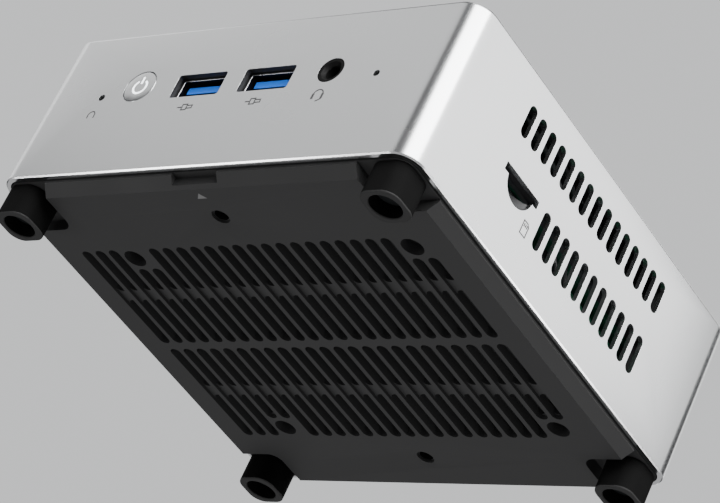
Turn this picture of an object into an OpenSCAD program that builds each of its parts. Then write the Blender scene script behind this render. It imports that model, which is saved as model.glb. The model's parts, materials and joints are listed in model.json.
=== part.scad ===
// Mini PC: an aluminium sleeve round a plastic frame, a vented bottom cover on four rubber feet,
// and inside it the mainboard with its cooler, memory, storage, switches and ports.
// Millimetres, +Z up, front at -Y. The origin is on the table, under the middle of the case.

/* [Sleeve] */
// Width of the sleeve, left to right
case_w = 115; // [112:0.5:140]
// Depth of the sleeve, front to back
case_d = 111.5; // [108:0.5:136]
// Height of the sleeve
case_h = 40; // [39:0.5:60]
// Height of the sleeve's bottom edge above the table
edge_z = 8.3; // [7.5:0.1:12]
// Radius of the sleeve's upright corners
corner_r = 5.6; // [5:0.1:7]
// Thickness of the sleeve's metal
sleeve_t = 1.2; // [0.8:0.1:1.5]
// Radius of the rounded top edge
top_edge_r = 0.8; // [0.3:0.1:1]

/* [Lid] */
// Thickness of the lid
lid_t = 2; // [1.5:0.1:2.4]
// Gap round the lid
lid_gap = 0.2; // [0.1:0.05:0.4]
// Width of the ledge that the lid rests on
ledge_w = 2.2; // [1.8:0.1:3]
// Thickness of that ledge
ledge_t = 1.2; // [0.8:0.1:1.6]

/* [Frame] */
// Thickness of the plastic frame's walls
frame_t = 1.5; // [1.2:0.1:2]
// Gap between the frame and the sleeve
frame_gap = 0.15; // [0.1:0.05:0.3]
// Distance of the corner posts from the sleeve's outer faces
post_inset = 6.7; // [6.5:0.1:8]
// Diameter of the corner posts
post_d = 7; // [6.5:0.1:8]

/* [Bottom cover] */
// Depth of the cover's flat face below the sleeve's edge
cover_drop = 3.15; // [2.8:0.05:4]
// Thickness of the cover's floor
cover_t = 2; // [1.8:0.1:2.4]
// Width and height of the bevel round the cover
bevel = 2.25; // [1.5:0.05:2.4]
// Gap between the cover and the sleeve
cover_gap = 0.3; // [0.2:0.05:0.5]
// Height of the cover's rim above the sleeve's edge
rim_up = 1.5; // [1.2:0.1:2]
// Side of the corner pockets, from the sleeve's outer faces
pocket = 14.2; // [13:0.1:16]
// Width of the grip notch in the front bevel
notch_w = 12.5; // [8:0.5:20]

/* [Bottom vents] */
// Number of slot columns
slot_columns = 24; // [16:1:24]
// Distance between slot columns
slot_pitch = 4; // [3.8:0.05:4.1]
// Width of a slot
slot_w = 2.8; // [2:0.1:3]
// Half of the bar between the two groups of slots
slot_mid = 1.1; // [0.8:0.1:3]
// Outer end of a full slot, from the middle
slot_end = 34; // [32:0.5:35]
// Outer end of a slot beside a screw hole
slot_short = 27.3; // [24:0.1:27.5]

/* [Side vents] */
// Distance between side slots
vent_pitch = 4.11; // [3.8:0.01:4.3]
// Width of a side slot
vent_w = 2.67; // [2:0.01:2.9]
// Place of the rearmost side slot along the depth
vent_rear = 27.8; // [20:0.1:30]
// Number of slots in the upper row
upper_vents = 15; // [8:1:15]
// Height of the upper slots
upper_vent_h = 7.8; // [6:0.1:8.4]
// Middle of the upper row above the sleeve's edge
upper_vent_z = 29.65; // [28:0.05:31]
// Number of slots in the lower row
lower_vents = 11; // [6:1:11]
// Height of the lower slots
lower_vent_h = 9.3; // [6:0.1:9.6]
// Middle of the lower row above the sleeve's edge
lower_vent_z = 14.35; // [12:0.05:15]

/* [Feet] */
// Side of a foot
foot_w = 9.8; // [9:0.1:11]
// Radius of a foot's upright corners
foot_r = 3.4; // [1:0.1:4]
// Diameter of the recess in a foot
foot_bore_d = 7.3; // [6.5:0.1:7.6]
// Thickness of rubber above the recess
foot_web = 2; // [1.5:0.1:3]

/* [Bracket holes] */
// Distance between the two threaded holes for a mounting bracket
bracket_span = 85; // [80:0.5:88]
// Diameter of the bracket holes' bore (M4 thread)
bracket_bore_d = 3.3; // [2.5:0.1:3.4]

/* [Storage drive] */
// Length of the 2.5-inch drive
drive_l = 100.2; // [100:0.1:100.5]
// Width of the drive
drive_w = 69.85; // [69.6:0.05:70.1]
// Thickness of the drive
drive_t = 7; // [5:0.5:9.5]
// Spacing of the drive's bottom holes along its length
drive_hole_l = 76.6; // [76:0.1:77]
// Spacing of the drive's bottom holes across its width
drive_hole_w = 61.72; // [61:0.01:62]
// Distance from the drive's connector end to its first holes
drive_hole_end = 14; // [13.5:0.1:14.5]
// Place of the drive's hole pattern to the right of the middle
drive_shift = 5.2; // [4.5:0.1:5.3]
// Diameter of the screw holes in the cover
drive_access_d = 5.2; // [5:0.1:6]

/* [Mainboard] */
// Thickness of the mainboard
board_t = 1.6; // [1:0.1:2]
// Height of the mainboard's underside above the sleeve's edge
board_lift = 18.5; // [18.3:0.1:20]
// Gap round the mainboard
board_gap = 1.2; // [0.8:0.1:2]

/* [Front panel] */
// Diameter of the power button
button_d = 8.4; // [7:0.1:9]
// Place of the power button across the front
button_x = -28.3; // [-30:0.1:-26]
// Height of the button's middle above the mainboard
button_up = 4; // [3.8:0.1:6]
// Travel of the power button
button_travel = 0.5; // [0.2:0.1:0.6]
// Places of the two USB sockets across the front
front_usb_x = [-10.7, 8.4];
// Place of the audio jack across the front
jack_x = 25.5; // [22:0.1:30]
// Height of the audio jack's axis above the mainboard
jack_up = 3.7; // [3.5:0.1:5]
// Diameter of the audio jack's nozzle hole in the sleeve
jack_hole_d = 6.5; // [6:0.1:7]
// Diameter of the audio jack's bore
jack_bore_d = 3.6; // [3.5:0.05:3.8]
// Distance of the two pinholes from the middle
pinhole_x = 38.4; // [36:0.1:40]
// Height of the pinholes above the mainboard
pinhole_up = 1.7; // [1.5:0.1:3]
// Diameter of the pinholes
pinhole_d = 1.7; // [1:0.1:2]
// Travel of the reset switch
reset_travel = 0.25; // [0.1:0.05:0.4]

/* [Card slot] */
// Width of the memory card slot
card_slot_w = 13.2; // [12:0.1:13.6]
// Height of the memory card slot
card_slot_h = 1.9; // [1.5:0.1:2]
// Place of the slot's middle along the depth
card_y = -23.95; // [-25:0.05:-23]
// Radius of the finger notch in the sleeve
finger_r = 5.05; // [4:0.05:5.5]
// Travel of the card socket's slider
card_travel = 1.2; // [0.5:0.1:1.5]

/* [Sockets] */
// Outer width of a USB socket
usb_w = 13.2; // [12.8:0.1:13.2]
// Outer height of a USB socket
usb_h = 6; // [5.8:0.1:6]
// Depth of a USB socket
usb_l = 14; // [12:0.5:16]
// Gap between a socket and the opening round it
port_gap = 0.3; // [0.15:0.05:0.4]

/* [Cooler] */
// Diameter of the fan rotor
rotor_d = 42; // [36:0.5:44]
// Number of fan blades
blade_count = 29; // [11:2:37]
// Height of the blower housing
blower_h = 11; // [9:0.5:12]
// Diameter of the fan's shaft
shaft_d = 2; // [1.5:0.1:2.5]
// Clearance between the fan's shaft and its bearing, on the radius
shaft_gap = 0.03; // [0.01:0.01:0.05]
// Number of heat sink fins
fin_count = 26; // [12:1:32]

/* [Hidden] */
$fn = 48;

// Half sizes and levels that several pieces share
half_w = case_w / 2;
half_d = case_d / 2;
top_z = edge_z + case_h;
sleeve_in_w = half_w - sleeve_t;
sleeve_in_d = half_d - sleeve_t;
frame_out_w = sleeve_in_w - frame_gap;
frame_out_d = sleeve_in_d - frame_gap;
frame_in_w = frame_out_w - frame_t;
frame_in_d = frame_out_d - frame_t;
lid_z = top_z - lid_t;
ledge_z = lid_z - ledge_t;
cover_w = sleeve_in_w - cover_gap;
cover_d = sleeve_in_d - cover_gap;
flat_z = edge_z - cover_drop;
rim_z = edge_z + rim_up;
pocket_z = edge_z - 0.3;
post_x = half_w - post_inset;
post_y = half_d - post_inset;
board_z = edge_z + board_lift;
board_top = board_z + board_t;
board_side_room = 1.45;
board_end_room = 0.7;
board_w = frame_in_w - board_gap - board_side_room;
board_d = frame_in_d - board_gap - board_end_room;
through = 0.5;      // how far a cut runs past a face
touch = 0.02;       // play between pieces that are pressed or laid together

// The drive, its holes and what they stand on
drive_z = edge_z + 1.8;
drive_x0 = drive_shift - drive_hole_l / 2 - drive_hole_end;
drive_seat_z = edge_z + 0.6;
drive_boss_d = drive_access_d + 4;
drive_thread_d = 3;
sata_w = 33;
sata_h = 5;
sata_slot_d = 4.5;
sata_header_x = drive_x0 - 3.4;
sata_header_w = 4.6;

// Threaded parts
m3_d = 3;
m3_head_d = 5.6;
m3_head_h = 2;
m25_d = 2.5;
insert_l = 5;
insert_d = 4.6;
board_insert_d = 3.6;
board_insert_l = 4;
board_boss_d = 6.5;
board_boss_h = 7;
board_screw_x = frame_in_w - 6.4;
board_screw_spots = [[-1, 38], [-1, -20], [1, 38], [1, -36]];
bracket_insert_d = 5.6;
bracket_insert_l = 4.5;
bracket_clear_d = 4.2;
bracket_lip = 0.5;
dish_d = 6.6;
dish_h = 0.5;
bracket_insert_z = flat_z + dish_h + bracket_lip;

// Front panel
usb_z = board_top + usb_h / 2;
button_z = board_top + button_up;
jack_z = board_top + jack_up;
pinhole_z = board_top + pinhole_up;
button_gap = 0.15;
button_flange_d = button_d + 1.2;
button_flange_t = 0.8;
button_hole_d = button_flange_d + 1;
symbol_ring_d = 3.6;
symbol_line = 0.5;
symbol_bar = 1.9;
button_back_y = -sleeve_in_d + touch + button_flange_t;
switch_y = -frame_in_d + 3.4;
stem_d = 2.4;
reset_y = -frame_in_d + 1.2;

// Rear panel: opening in the sleeve, and the places of the sockets across the back
rear_open_w = 2 * (half_w - 10);
rear_z0 = edge_z + 15;
rear_flange = 1.2;
rear_z1 = ledge_z - rear_flange - 0.2;
rear_usb_x = [10.5, -7];
hdmi_x = 27.5;
hdmi_w = 15;
hdmi_h = 5.8;
hdmi_l = 11;
usb_c_x = -21.5;
usb_c_w = 8.9;
usb_c_h = 3.2;
usb_c_l = 8;
net_x = -36.5;
net_w = 16;
net_h = 13.5;
net_l = 21;
dc_x = 42;
dc_body_w = 8;
dc_h = 7.2;
dc_axis_up = 3.3;
dc_nose_d = 7.2;
dc_l = 11;
dc_bore_d = 6;
dc_pin_d = 2.5;

// Card slot on the right side
card_z = board_z - 0.75;
card_socket_w = 14.6;
card_socket_l = 15.4;
card_socket_t = 1.5;
card_block_t = 1.5;
finger_ball_r = 7;

// Lock slot on the left side
lock_y = -half_d + 24;
lock_z = edge_z + 12;
lock_w = 7;
lock_h = 3;

// Cooler
cpu_x = -27;
cpu_y = 4;
cpu_w = 38;
cpu_d = 24;
cpu_t = 1.1;
die_t = 0.4;
plate_w = 34;
plate_d = 30;
plate_h = 6.4;
plate_z = board_top + cpu_t + die_t;
pipe_z = plate_z + plate_h;
pipe_w = 7;
pipe_h = 3;
pipe_x = cpu_x + 3;
pipe_bend = 10;
fan_x = 19;
blower_w = 50;
blower_wall = 1;
blower_z = board_top + 4.6;
fin_z = board_top + dc_h + 0.2;
fin_h = blower_z + blower_h - fin_z;
fin_d = 12.5;
fin_y = frame_in_d - 2.4 - fin_d / 2;
fin_t = 0.5;
blower_y1 = fin_y - fin_d / 2 - 0.6;
blower_y0 = blower_y1 - rotor_d - 10;
fan_y = blower_y1 - rotor_d / 2 - 5;
rotor_z = blower_z + 2;
rotor_h = blower_h - 4;
hub_d = 19;
hub_wall = 1.2;
bearing_d = 4.4;
bearing_h = 5;
leg_d = 5;
leg_inset = 3;

// Cards under the mainboard
dimm_w = 67.6;
dimm_d = 30;
dimm_t = 1.2;
dimm_x = -9.6;
dimm_bar_d = 6.4;
dimm_bar_h = 4;
dimm_rows = [42, 8];
ssd_x0 = -43;
ssd_y = -38;
m2_w = 22;
m2_t = 0.8;
ssd_l = 80;
wifi_x = 39.5;
wifi_y0 = 0;
wifi_l = 30;
m2_bar_d = 8.5;
m2_bar_h = 4;
m2_z = board_z - 2.4;
wifi_plug_x = [-6, 6];
wifi_plug_y = wifi_y0 + wifi_l - 4;

// Aerials under the lid and their leads
antenna_x = half_w - 27;
antenna_y = -half_d + 24;
lead_r = 0.55;
lead_gap_x = (board_w + frame_in_w) / 2;

// Outline shapes
module rounded_rect(w, d, r) {
    square([w - 2 * r, d], center = true);
    square([w, d - 2 * r], center = true);
    for (x = [-1, 1], y = [-1, 1]) translate([x * (w / 2 - r), y * (d / 2 - r)]) circle(r);
}

module stadium(w, l) {
    square([w, l - w], center = true);
    for (y = [-1, 1]) translate([0, y * (l - w) / 2]) circle(d = w);
}

module rounded_block(w, d, h, r) {
    linear_extrude(h) rounded_rect(w, d, r);
}

// A block lying on the plane z = 0, centred in x and y
module block(w, d, h) {
    translate([-w / 2, -d / 2, 0]) cube([w, d, h]);
}

// Turns a flat outline (x across, y up) into a solid that runs back from the front, along +Y
module along_y(l) {
    rotate([90, 0, 0]) translate([0, 0, -l]) linear_extrude(l) children();
}

// Turns a flat outline (x along the depth, y up) into a solid that runs along +X
module along_x(l) {
    rotate([90, 0, 90]) linear_extrude(l) children();
}

module at_posts() {
    for (x = [-1, 1], y = [-1, 1]) translate([x * post_x, y * post_y, 0]) children();
}

module at_drive_holes() {
    for (x = [-1, 1], y = [-1, 1])
        translate([drive_shift + x * drive_hole_l / 2, y * drive_hole_w / 2, 0]) children();
}

module at_board_screws() {
    for (p = board_screw_spots) translate([p[0] * board_screw_x, p[1], 0]) children();
}

// Headed screw: head below z = 0, shank above it
module screw(d, l, head_d, head_h, drive_d) {
    difference() {
        union() {
            translate([0, 0, -head_h]) cylinder(d = head_d, h = head_h);
            cylinder(d = d, h = l);
        }
        translate([0, 0, -head_h - through]) cylinder(d = drive_d, h = head_h * 0.55 + through, $fn = 6);
    }
}

// ---- Case ----

// Row of upright slots in a side wall, from the rearmost slot forwards
module vent_row(count, h, z) {
    for (i = [0 : count - 1])
        translate([0, vent_rear - i * vent_pitch, edge_z + z]) along_x(sleeve_t + 2 * through)
            stadium(vent_w, h);
}

module side_vents() {
    translate([sleeve_in_w - through, 0, 0]) {
        vent_row(upper_vents, upper_vent_h, upper_vent_z);
        vent_row(lower_vents, lower_vent_h, lower_vent_z);
    }
}

module card_opening() {
    translate([sleeve_in_w - through, card_y, card_z]) {
        along_x(sleeve_t + 2 * through) square([card_slot_w, card_slot_h], center = true);
        along_x(sleeve_t + 2 * through) intersection() {
            circle(finger_r);
            translate([-finger_r, -finger_r]) square([2 * finger_r, finger_r]);
        }
    }
}

module lock_opening() {
    translate([-half_w - through, lock_y, lock_z]) along_x(sleeve_t + 2 * through)
        rounded_rect(lock_w, lock_h, 0.8);
}

module front_openings() {
    translate([0, -half_d - through, 0]) {
        translate([button_x, 0, button_z]) along_y(sleeve_t + 2 * through) circle(d = button_d + 2 * button_gap);
        for (x = front_usb_x) translate([x, 0, usb_z]) along_y(sleeve_t + 2 * through)
            rounded_rect(usb_w + 2 * port_gap, usb_h + port_gap, 0.7);
        translate([jack_x, 0, jack_z]) along_y(sleeve_t + 2 * through) circle(d = jack_hole_d);
        for (x = [-1, 1]) translate([x * pinhole_x, 0, pinhole_z]) along_y(sleeve_t + 2 * through)
            circle(d = pinhole_d);
    }
}

module shell() color([0.78, 0.79, 0.80]) {
    difference() {
        union() {
            translate([0, 0, edge_z]) rounded_block(case_w, case_d, case_h - top_edge_r, corner_r);
            hull() {
                for (a = [0 : 30 : 90])
                    translate([0, 0, top_z - top_edge_r - 0.01])
                        rounded_block(case_w - 2 * top_edge_r * (1 - cos(a)),
                                      case_d - 2 * top_edge_r * (1 - cos(a)),
                                      top_edge_r * sin(a) + 0.01, corner_r - top_edge_r * (1 - cos(a)), $fn = 32);
            }
        }
        translate([0, 0, edge_z - through])
            rounded_block(2 * sleeve_in_w, 2 * sleeve_in_d, ledge_z - edge_z + through, corner_r - sleeve_t);
        translate([0, 0, ledge_z - through])
            rounded_block(2 * (sleeve_in_w - ledge_w), 2 * (sleeve_in_d - ledge_w), case_h, corner_r - sleeve_t - 1);
        translate([0, 0, lid_z])
            rounded_block(2 * sleeve_in_w, 2 * sleeve_in_d, lid_t + through, corner_r - sleeve_t);
        front_openings();
        side_vents();
        mirror([1, 0, 0]) side_vents();
        card_opening();
        lock_opening();
        translate([-rear_open_w / 2, sleeve_in_d - through, rear_z0])
            cube([rear_open_w, sleeve_t + 2 * through, rear_z1 - rear_z0]);
    }
}

// The lid drops into the top of the sleeve and hooks under the ledge
module top_lid() color([0.07, 0.07, 0.08]) {
    hook_l = 12;
    hook_t = 1;
    barb = 0.5;
    barb_h = 0.8;
    hook_z = ledge_z - barb_h - 0.1;
    hook_y = sleeve_in_d - ledge_w - 0.15;
    translate([0, 0, lid_z])
        rounded_block(2 * (sleeve_in_w - lid_gap), 2 * (sleeve_in_d - lid_gap), lid_t, corner_r - sleeve_t - lid_gap);
    for (y = [-1, 1], x = [-1, 1]) {
        translate([x * half_w * 0.6 - hook_l / 2, y > 0 ? hook_y - hook_t : -hook_y, hook_z])
            cube([hook_l, hook_t, lid_z - hook_z + touch]);
        translate([x * half_w * 0.6 - hook_l / 2, y > 0 ? hook_y - hook_t : -hook_y - barb, hook_z])
            cube([hook_l, hook_t + barb, barb_h]);
    }
}

// One corner post with its ribs to the two walls
module post_block(x, y) {
    h = ledge_z - 0.1 - rim_z;
    web = 2;
    translate([x * post_x, y * post_y, rim_z]) {
        cylinder(d = post_d, h = h);
        translate([x > 0 ? 0 : post_x - frame_out_w + 0.4, -web / 2, 0])
            cube([frame_out_w - post_x - 0.4, web, h]);
        translate([x > 0 ? -0.2 : 0.2 - web, y > 0 ? 0 : post_y - frame_out_d + 0.4, 0])
            cube([web, frame_out_d - post_y - 0.4, h]);
    }
}

module frame_window(y0, y1, z, h) {
    translate([frame_in_w - through, y0, z - h / 2]) cube([frame_t + 2 * through, y1 - y0, h]);
}

module frame_side_windows() {
    row0 = vent_rear + vent_pitch / 2;
    frame_window(row0 - upper_vents * vent_pitch, row0, edge_z + upper_vent_z, upper_vent_h + 1);
    frame_window(row0 - lower_vents * vent_pitch, row0, edge_z + lower_vent_z, lower_vent_h + 1);
}

module inner_frame() color([0.12, 0.12, 0.13]) {
    top = ledge_z - 0.1;
    difference() {
        union() {
            difference() {
                translate([0, 0, rim_z])
                    rounded_block(2 * frame_out_w, 2 * frame_out_d, top - rim_z, corner_r - sleeve_t - frame_gap);
                translate([0, 0, rim_z - through])
                    rounded_block(2 * frame_in_w, 2 * frame_in_d, top - rim_z + 2 * through, 2.5);
                frame_side_windows();
                mirror([1, 0, 0]) frame_side_windows();
            }
            for (x = [-1, 1], y = [-1, 1]) post_block(x, y);
            for (p = board_screw_spots) translate([p[0] * board_screw_x, p[1], board_top]) {
                cylinder(d = board_boss_d, h = board_boss_h);
                translate([p[0] > 0 ? 0 : board_screw_x - frame_out_w + 0.5, -board_boss_d / 2, 0])
                    cube([frame_out_w - board_screw_x - 0.5, board_boss_d, board_boss_h]);
            }
            translate([frame_in_w - card_block_t, card_y - 9, edge_z + 11])
                cube([card_block_t + 0.5, 18, board_z - edge_z - 11 - touch]);
        }
        // corner posts: screw thread inserts from below
        at_posts() translate([0, 0, rim_z - through]) {
            cylinder(d = insert_d + 2 * touch, h = insert_l + through);
            cylinder(d = m3_d + 0.4, h = 16);
        }
        // board bosses: thread inserts from below
        at_board_screws() translate([0, 0, board_top - through])
            cylinder(d = board_insert_d + 2 * touch, h = board_insert_l + 1 + through);
        // card slot and the finger scoop behind the sleeve's notch
        translate([frame_in_w - card_block_t - through, card_y, card_z])
            along_x(card_block_t + frame_t + 2 * through) square([card_slot_w, card_slot_h], center = true);
        intersection() {
            translate([frame_out_w + sqrt(pow(finger_ball_r, 2) - pow(finger_r, 2)), card_y, card_z])
                sphere(finger_ball_r);
            translate([frame_in_w - card_block_t, card_y - 10, card_z - 10]) cube([10, 20, 10]);
        }
        // front sockets and switches pass through
        translate([0, -frame_out_d - through, 0]) {
            translate([button_x, 0, button_z]) along_y(frame_t + 2 * through) circle(d = button_hole_d);
            for (x = front_usb_x) translate([x, 0, usb_z]) along_y(frame_t + 2 * through)
                rounded_rect(usb_w + 4 * port_gap, usb_h + 2 * port_gap, 0.7);
            translate([jack_x, 0, jack_z]) along_y(frame_t + 2 * through) circle(d = jack_hole_d + 1.2);
            translate([-pinhole_x, 0, pinhole_z]) along_y(frame_t + 2 * through) circle(d = 3);
            translate([pinhole_x, 0, pinhole_z]) along_y(frame_t + 2 * through) circle(d = 4);
        }
        // rear opening for the rear panel and its flange
        translate([-rear_open_w / 2 - rear_flange - 0.3, frame_in_d - 0.8, rear_z0 - rear_flange - 0.3])
            cube([rear_open_w + 2 * rear_flange + 0.6, frame_t + 2, rear_z1 - rear_z0 + 2 * rear_flange + 0.6]);
        // lock slot
        translate([-frame_out_w - through, lock_y, lock_z]) along_x(frame_t + 2 * through)
            rounded_rect(lock_w + 1, lock_h + 1, 0.8);
    }
}

module rear_openings() {
    long = 12;
    for (x = rear_usb_x) translate([x, 0, usb_z]) along_y(long)
        rounded_rect(usb_w + 2 * port_gap, usb_h + port_gap, 0.7);
    translate([hdmi_x, 0, board_top + hdmi_h / 2]) along_y(long)
        square([hdmi_w + 2 * port_gap, hdmi_h + port_gap], center = true);
    translate([usb_c_x, 0, board_top + usb_c_h / 2]) along_y(long)
        stadium_flat(usb_c_w + 2 * port_gap, usb_c_h + port_gap);
    translate([net_x, 0, board_top + net_h / 2]) along_y(long)
        square([net_w + 2 * port_gap, net_h + port_gap], center = true);
    translate([dc_x, 0, board_top + dc_axis_up]) along_y(long) circle(d = dc_nose_d + port_gap);
    for (i = [0 : floor((blower_w - 4) / vent_pitch)])
        translate([fan_x - blower_w / 2 + 2 + vent_w / 2 + i * vent_pitch, 0, fin_z + fin_h / 2]) along_y(long)
            stadium(vent_w, fin_h - 1.6);
}

// Flat outline with round ends, wider than it is high
module stadium_flat(w, h) {
    square([w - h, h], center = true);
    for (x = [-1, 1]) translate([x * (w - h) / 2, 0]) circle(d = h);
}

module rear_panel() color([0.10, 0.10, 0.11]) {
    gap = 0.15;
    difference() {
        union() {
            translate([-rear_open_w / 2 + gap, sleeve_in_d - 0.2, rear_z0 + gap])
                cube([rear_open_w - 2 * gap, sleeve_t + 0.2, rear_z1 - rear_z0 - 2 * gap]);
            translate([-rear_open_w / 2 - rear_flange, sleeve_in_d - 1.45, rear_z0 - rear_flange])
                cube([rear_open_w + 2 * rear_flange, 1.3, rear_z1 - rear_z0 + 2 * rear_flange]);
        }
        translate([0, sleeve_in_d - 3, 0]) rear_openings();
    }
}

// Outer body of the cover: bevelled floor and upright rim
module cover_outer() {
    hull() {
        translate([0, 0, flat_z])
            rounded_block(2 * (cover_w - bevel), 2 * (cover_d - bevel), 0.01, corner_r - sleeve_t - 1.5, $fn = 32);
        translate([0, 0, flat_z + bevel])
            rounded_block(2 * cover_w, 2 * cover_d, 0.01, corner_r - sleeve_t - cover_gap, $fn = 32);
    }
    translate([0, 0, flat_z + bevel])
        rounded_block(2 * cover_w, 2 * cover_d, rim_z - flat_z - bevel, corner_r - sleeve_t - cover_gap);
}

module cover_pockets(grow, z0, z1) {
    side = 2 * pocket;
    for (x = [-1, 1], y = [-1, 1])
        translate([x * (half_w - pocket - grow + side / 2), y * (half_d - pocket - grow + side / 2), z0])
            rounded_block(side, side, z1 - z0, 3);
}

module cover_slots() {
    for (i = [0 : slot_columns - 1]) {
        x = (i - (slot_columns - 1) / 2) * slot_pitch;
        near_hole = min(abs(x - drive_shift - drive_hole_l / 2), abs(x - drive_shift + drive_hole_l / 2));
        end = near_hole < drive_access_d / 2 + slot_w / 2 + 0.4 ? slot_short : slot_end;
        for (y = [-1, 1]) translate([x, y * (slot_mid + end) / 2, flat_z - through])
            linear_extrude(cover_t + 2 * through) stadium(slot_w, end - slot_mid);
    }
}

module bottom_cover() color([0.15, 0.15, 0.16]) {
    wall = 2.6;
    notch_up = 0.75;
    notch_in = 1.7;
    rib_w = 3.3;
    rib_y = (slot_mid + slot_end) / 2;
    rib_up = 0.7;
    rib_over = 0.6;
    boss_z = flat_z + 0.5;
    bracket_boss_h = bracket_insert_z + bracket_insert_l + 0.8 - boss_z;
    difference() {
        union() {
            difference() {
                cover_outer();
                translate([0, 0, flat_z + cover_t])
                    rounded_block(2 * (cover_w - wall), 2 * (cover_d - wall), 20, 2);
                cover_slots();
            }
            intersection() {
                cover_outer();
                cover_pockets(1.8, flat_z, rim_z);
            }
            for (y = [-1, 1]) translate([0, y * rib_y, flat_z + rib_up])
                block(slot_columns * slot_pitch, rib_w, cover_t + rib_over - rib_up);
            at_drive_holes() translate([0, 0, boss_z]) cylinder(d = drive_boss_d, h = drive_z - boss_z);
            for (y = [-1, 1]) translate([0, y * bracket_span / 2, boss_z])
                cylinder(d = bracket_insert_d + 3, h = bracket_boss_h);
        }
        cover_pockets(0, flat_z - through, pocket_z);
        at_posts() translate([0, 0, pocket_z - through]) cylinder(d = m3_d + 0.5, h = 10);
        at_drive_holes() {
            translate([0, 0, flat_z - through]) cylinder(d = drive_access_d, h = drive_seat_z - flat_z + through);
            translate([0, 0, flat_z]) cylinder(d = drive_thread_d + 0.3, h = 10);
        }
        for (y = [-1, 1]) translate([0, y * bracket_span / 2, 0]) {
            translate([0, 0, flat_z]) cylinder(d1 = dish_d, d2 = bracket_clear_d, h = dish_h);
            translate([0, 0, flat_z]) cylinder(d = bracket_clear_d, h = 3);
            translate([0, 0, bracket_insert_z]) cylinder(d = bracket_insert_d + 2 * touch, h = bracket_insert_l);
        }
        // grip notch in the front bevel
        translate([-notch_w / 2, -cover_d - through, flat_z + notch_up])
            cube([notch_w, notch_in + through, bevel]);
    }
}

module feet() color([0.10, 0.10, 0.10]) at_posts() difference() {
    rounded_block(foot_w, foot_w, pocket_z, foot_r);
    translate([0, 0, -through]) cylinder(d = foot_bore_d, h = pocket_z - foot_web + through);
    cylinder(d = m3_d + 0.5, h = edge_z + 5);
}

// Captive screws: head inside the foot, shank up into the corner post
module cover_screws() color([0.25, 0.25, 0.26]) at_posts()
    translate([0, 0, pocket_z - foot_web - 0.05]) screw(m3_d, foot_web + 6.5, m3_head_d, m3_head_h, 2);

// Washers that keep the captive screws in the cover
module screw_retainers() color([0.12, 0.12, 0.12]) at_posts()
    translate([0, 0, pocket_z - foot_web - 0.05 - m3_head_h - 0.6]) difference() {
        cylinder(d = foot_bore_d - 0.2, h = 0.5);
        translate([0, 0, -through]) cylinder(d = 3.4, h = 2);
    }

module threaded_insert(d, l, bore) {
    difference() {
        cylinder(d = d, h = l);
        translate([0, 0, -through]) cylinder(d = bore, h = l + 2 * through);
    }
}

module post_inserts() color([0.80, 0.65, 0.30]) at_posts()
    translate([0, 0, rim_z + touch]) threaded_insert(insert_d, insert_l - 2 * touch, m3_d + 0.1);

module bracket_inserts() color([0.22, 0.22, 0.23])
    for (y = [-1, 1]) translate([0, y * bracket_span / 2, bracket_insert_z])
        threaded_insert(bracket_insert_d, bracket_insert_l - touch, bracket_bore_d);

module drive_screws() color([0.35, 0.35, 0.36]) at_drive_holes()
    translate([0, 0, drive_seat_z - touch])
        screw(drive_thread_d, drive_z - drive_seat_z + 2.8, drive_access_d - 0.4, 1.3, 1.8);

// ---- Storage drive and its lead ----

module storage_drive() color([0.16, 0.17, 0.18]) {
    difference() {
        translate([drive_x0, -drive_w / 2, drive_z]) cube([drive_l, drive_w, drive_t]);
        translate([drive_x0 - through, -sata_w / 2 - 0.3, drive_z + 0.6])
            cube([sata_slot_d + through, sata_w + 0.6, sata_h + 0.6]);
        at_drive_holes() translate([0, 0, drive_z - through]) cylinder(d = drive_thread_d + 0.1, h = 3.5 + through);
    }
    translate([drive_x0 + 0.8, -sata_w / 2 + 1, drive_z + 3]) cube([4, sata_w - 2, 1.2]);
}

module sata_plug() color([0.08, 0.08, 0.09]) difference() {
    translate([drive_x0 - 1.6, -sata_w / 2, drive_z + 0.9]) cube([5.6, sata_w, sata_h]);
    translate([drive_x0 + 0.6, -sata_w / 2 + 0.8, drive_z + 2.7]) cube([6, sata_w - 1.6, 1.8]);
}

module sata_header() color([0.90, 0.88, 0.80])
    translate([sata_header_x, -12, board_z - 2.6]) cube([sata_header_w, 24, 2.6 - touch]);

// Flat ribbon: out of the plug, up beside the drive and into the header on the mainboard
module sata_flex() color([0.75, 0.45, 0.15]) {
    t = 0.3;
    x0 = drive_x0 - 4;
    z0 = drive_z + 0.9 + sata_h / 2;
    z1 = board_z - 1.3;
    translate([0, 10, 0]) rotate([90, 0, 0]) linear_extrude(20) {
        translate([x0, z0]) square([drive_x0 - 1.6 - x0 - touch, t]);
        translate([x0, z0]) square([t, z1 - z0]);
        translate([x0, z1 - t]) square([sata_header_x - x0 - touch, t]);
    }
}

// ---- Mainboard ----

module mainboard() color([0.05, 0.25, 0.14]) difference() {
    translate([0, 0, board_z]) block(2 * board_w, 2 * board_d, board_t);
    at_posts() translate([0, 0, board_z - through]) block(post_d + 3.4, post_d + 3.4, board_t + 2 * through);
    at_board_screws() translate([0, 0, board_z - through]) cylinder(d = m25_d + 0.3, h = board_t + 2 * through);
    at_cooler_legs() translate([0, 0, board_z - through]) cylinder(d = 2.3, h = board_t + 2 * through);
}

module board_screws() color([0.70, 0.70, 0.72]) at_board_screws()
    translate([0, 0, board_z - touch]) screw(m25_d, board_t + 3.6, 4.5, 1.5, 1.6);

module board_inserts() color([0.80, 0.65, 0.30]) at_board_screws()
    translate([0, 0, board_top + touch]) threaded_insert(board_insert_d, board_insert_l - touch, m25_d + 0.1);

module processor() color([0.10, 0.35, 0.20]) translate([cpu_x, cpu_y, board_top + touch]) {
    block(cpu_w, cpu_d, cpu_t - touch);
    translate([-5, 0, 0]) block(14, 11, cpu_t + die_t - touch);
    translate([9, 0, 0]) block(8, 11, cpu_t + die_t - touch);
}

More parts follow.
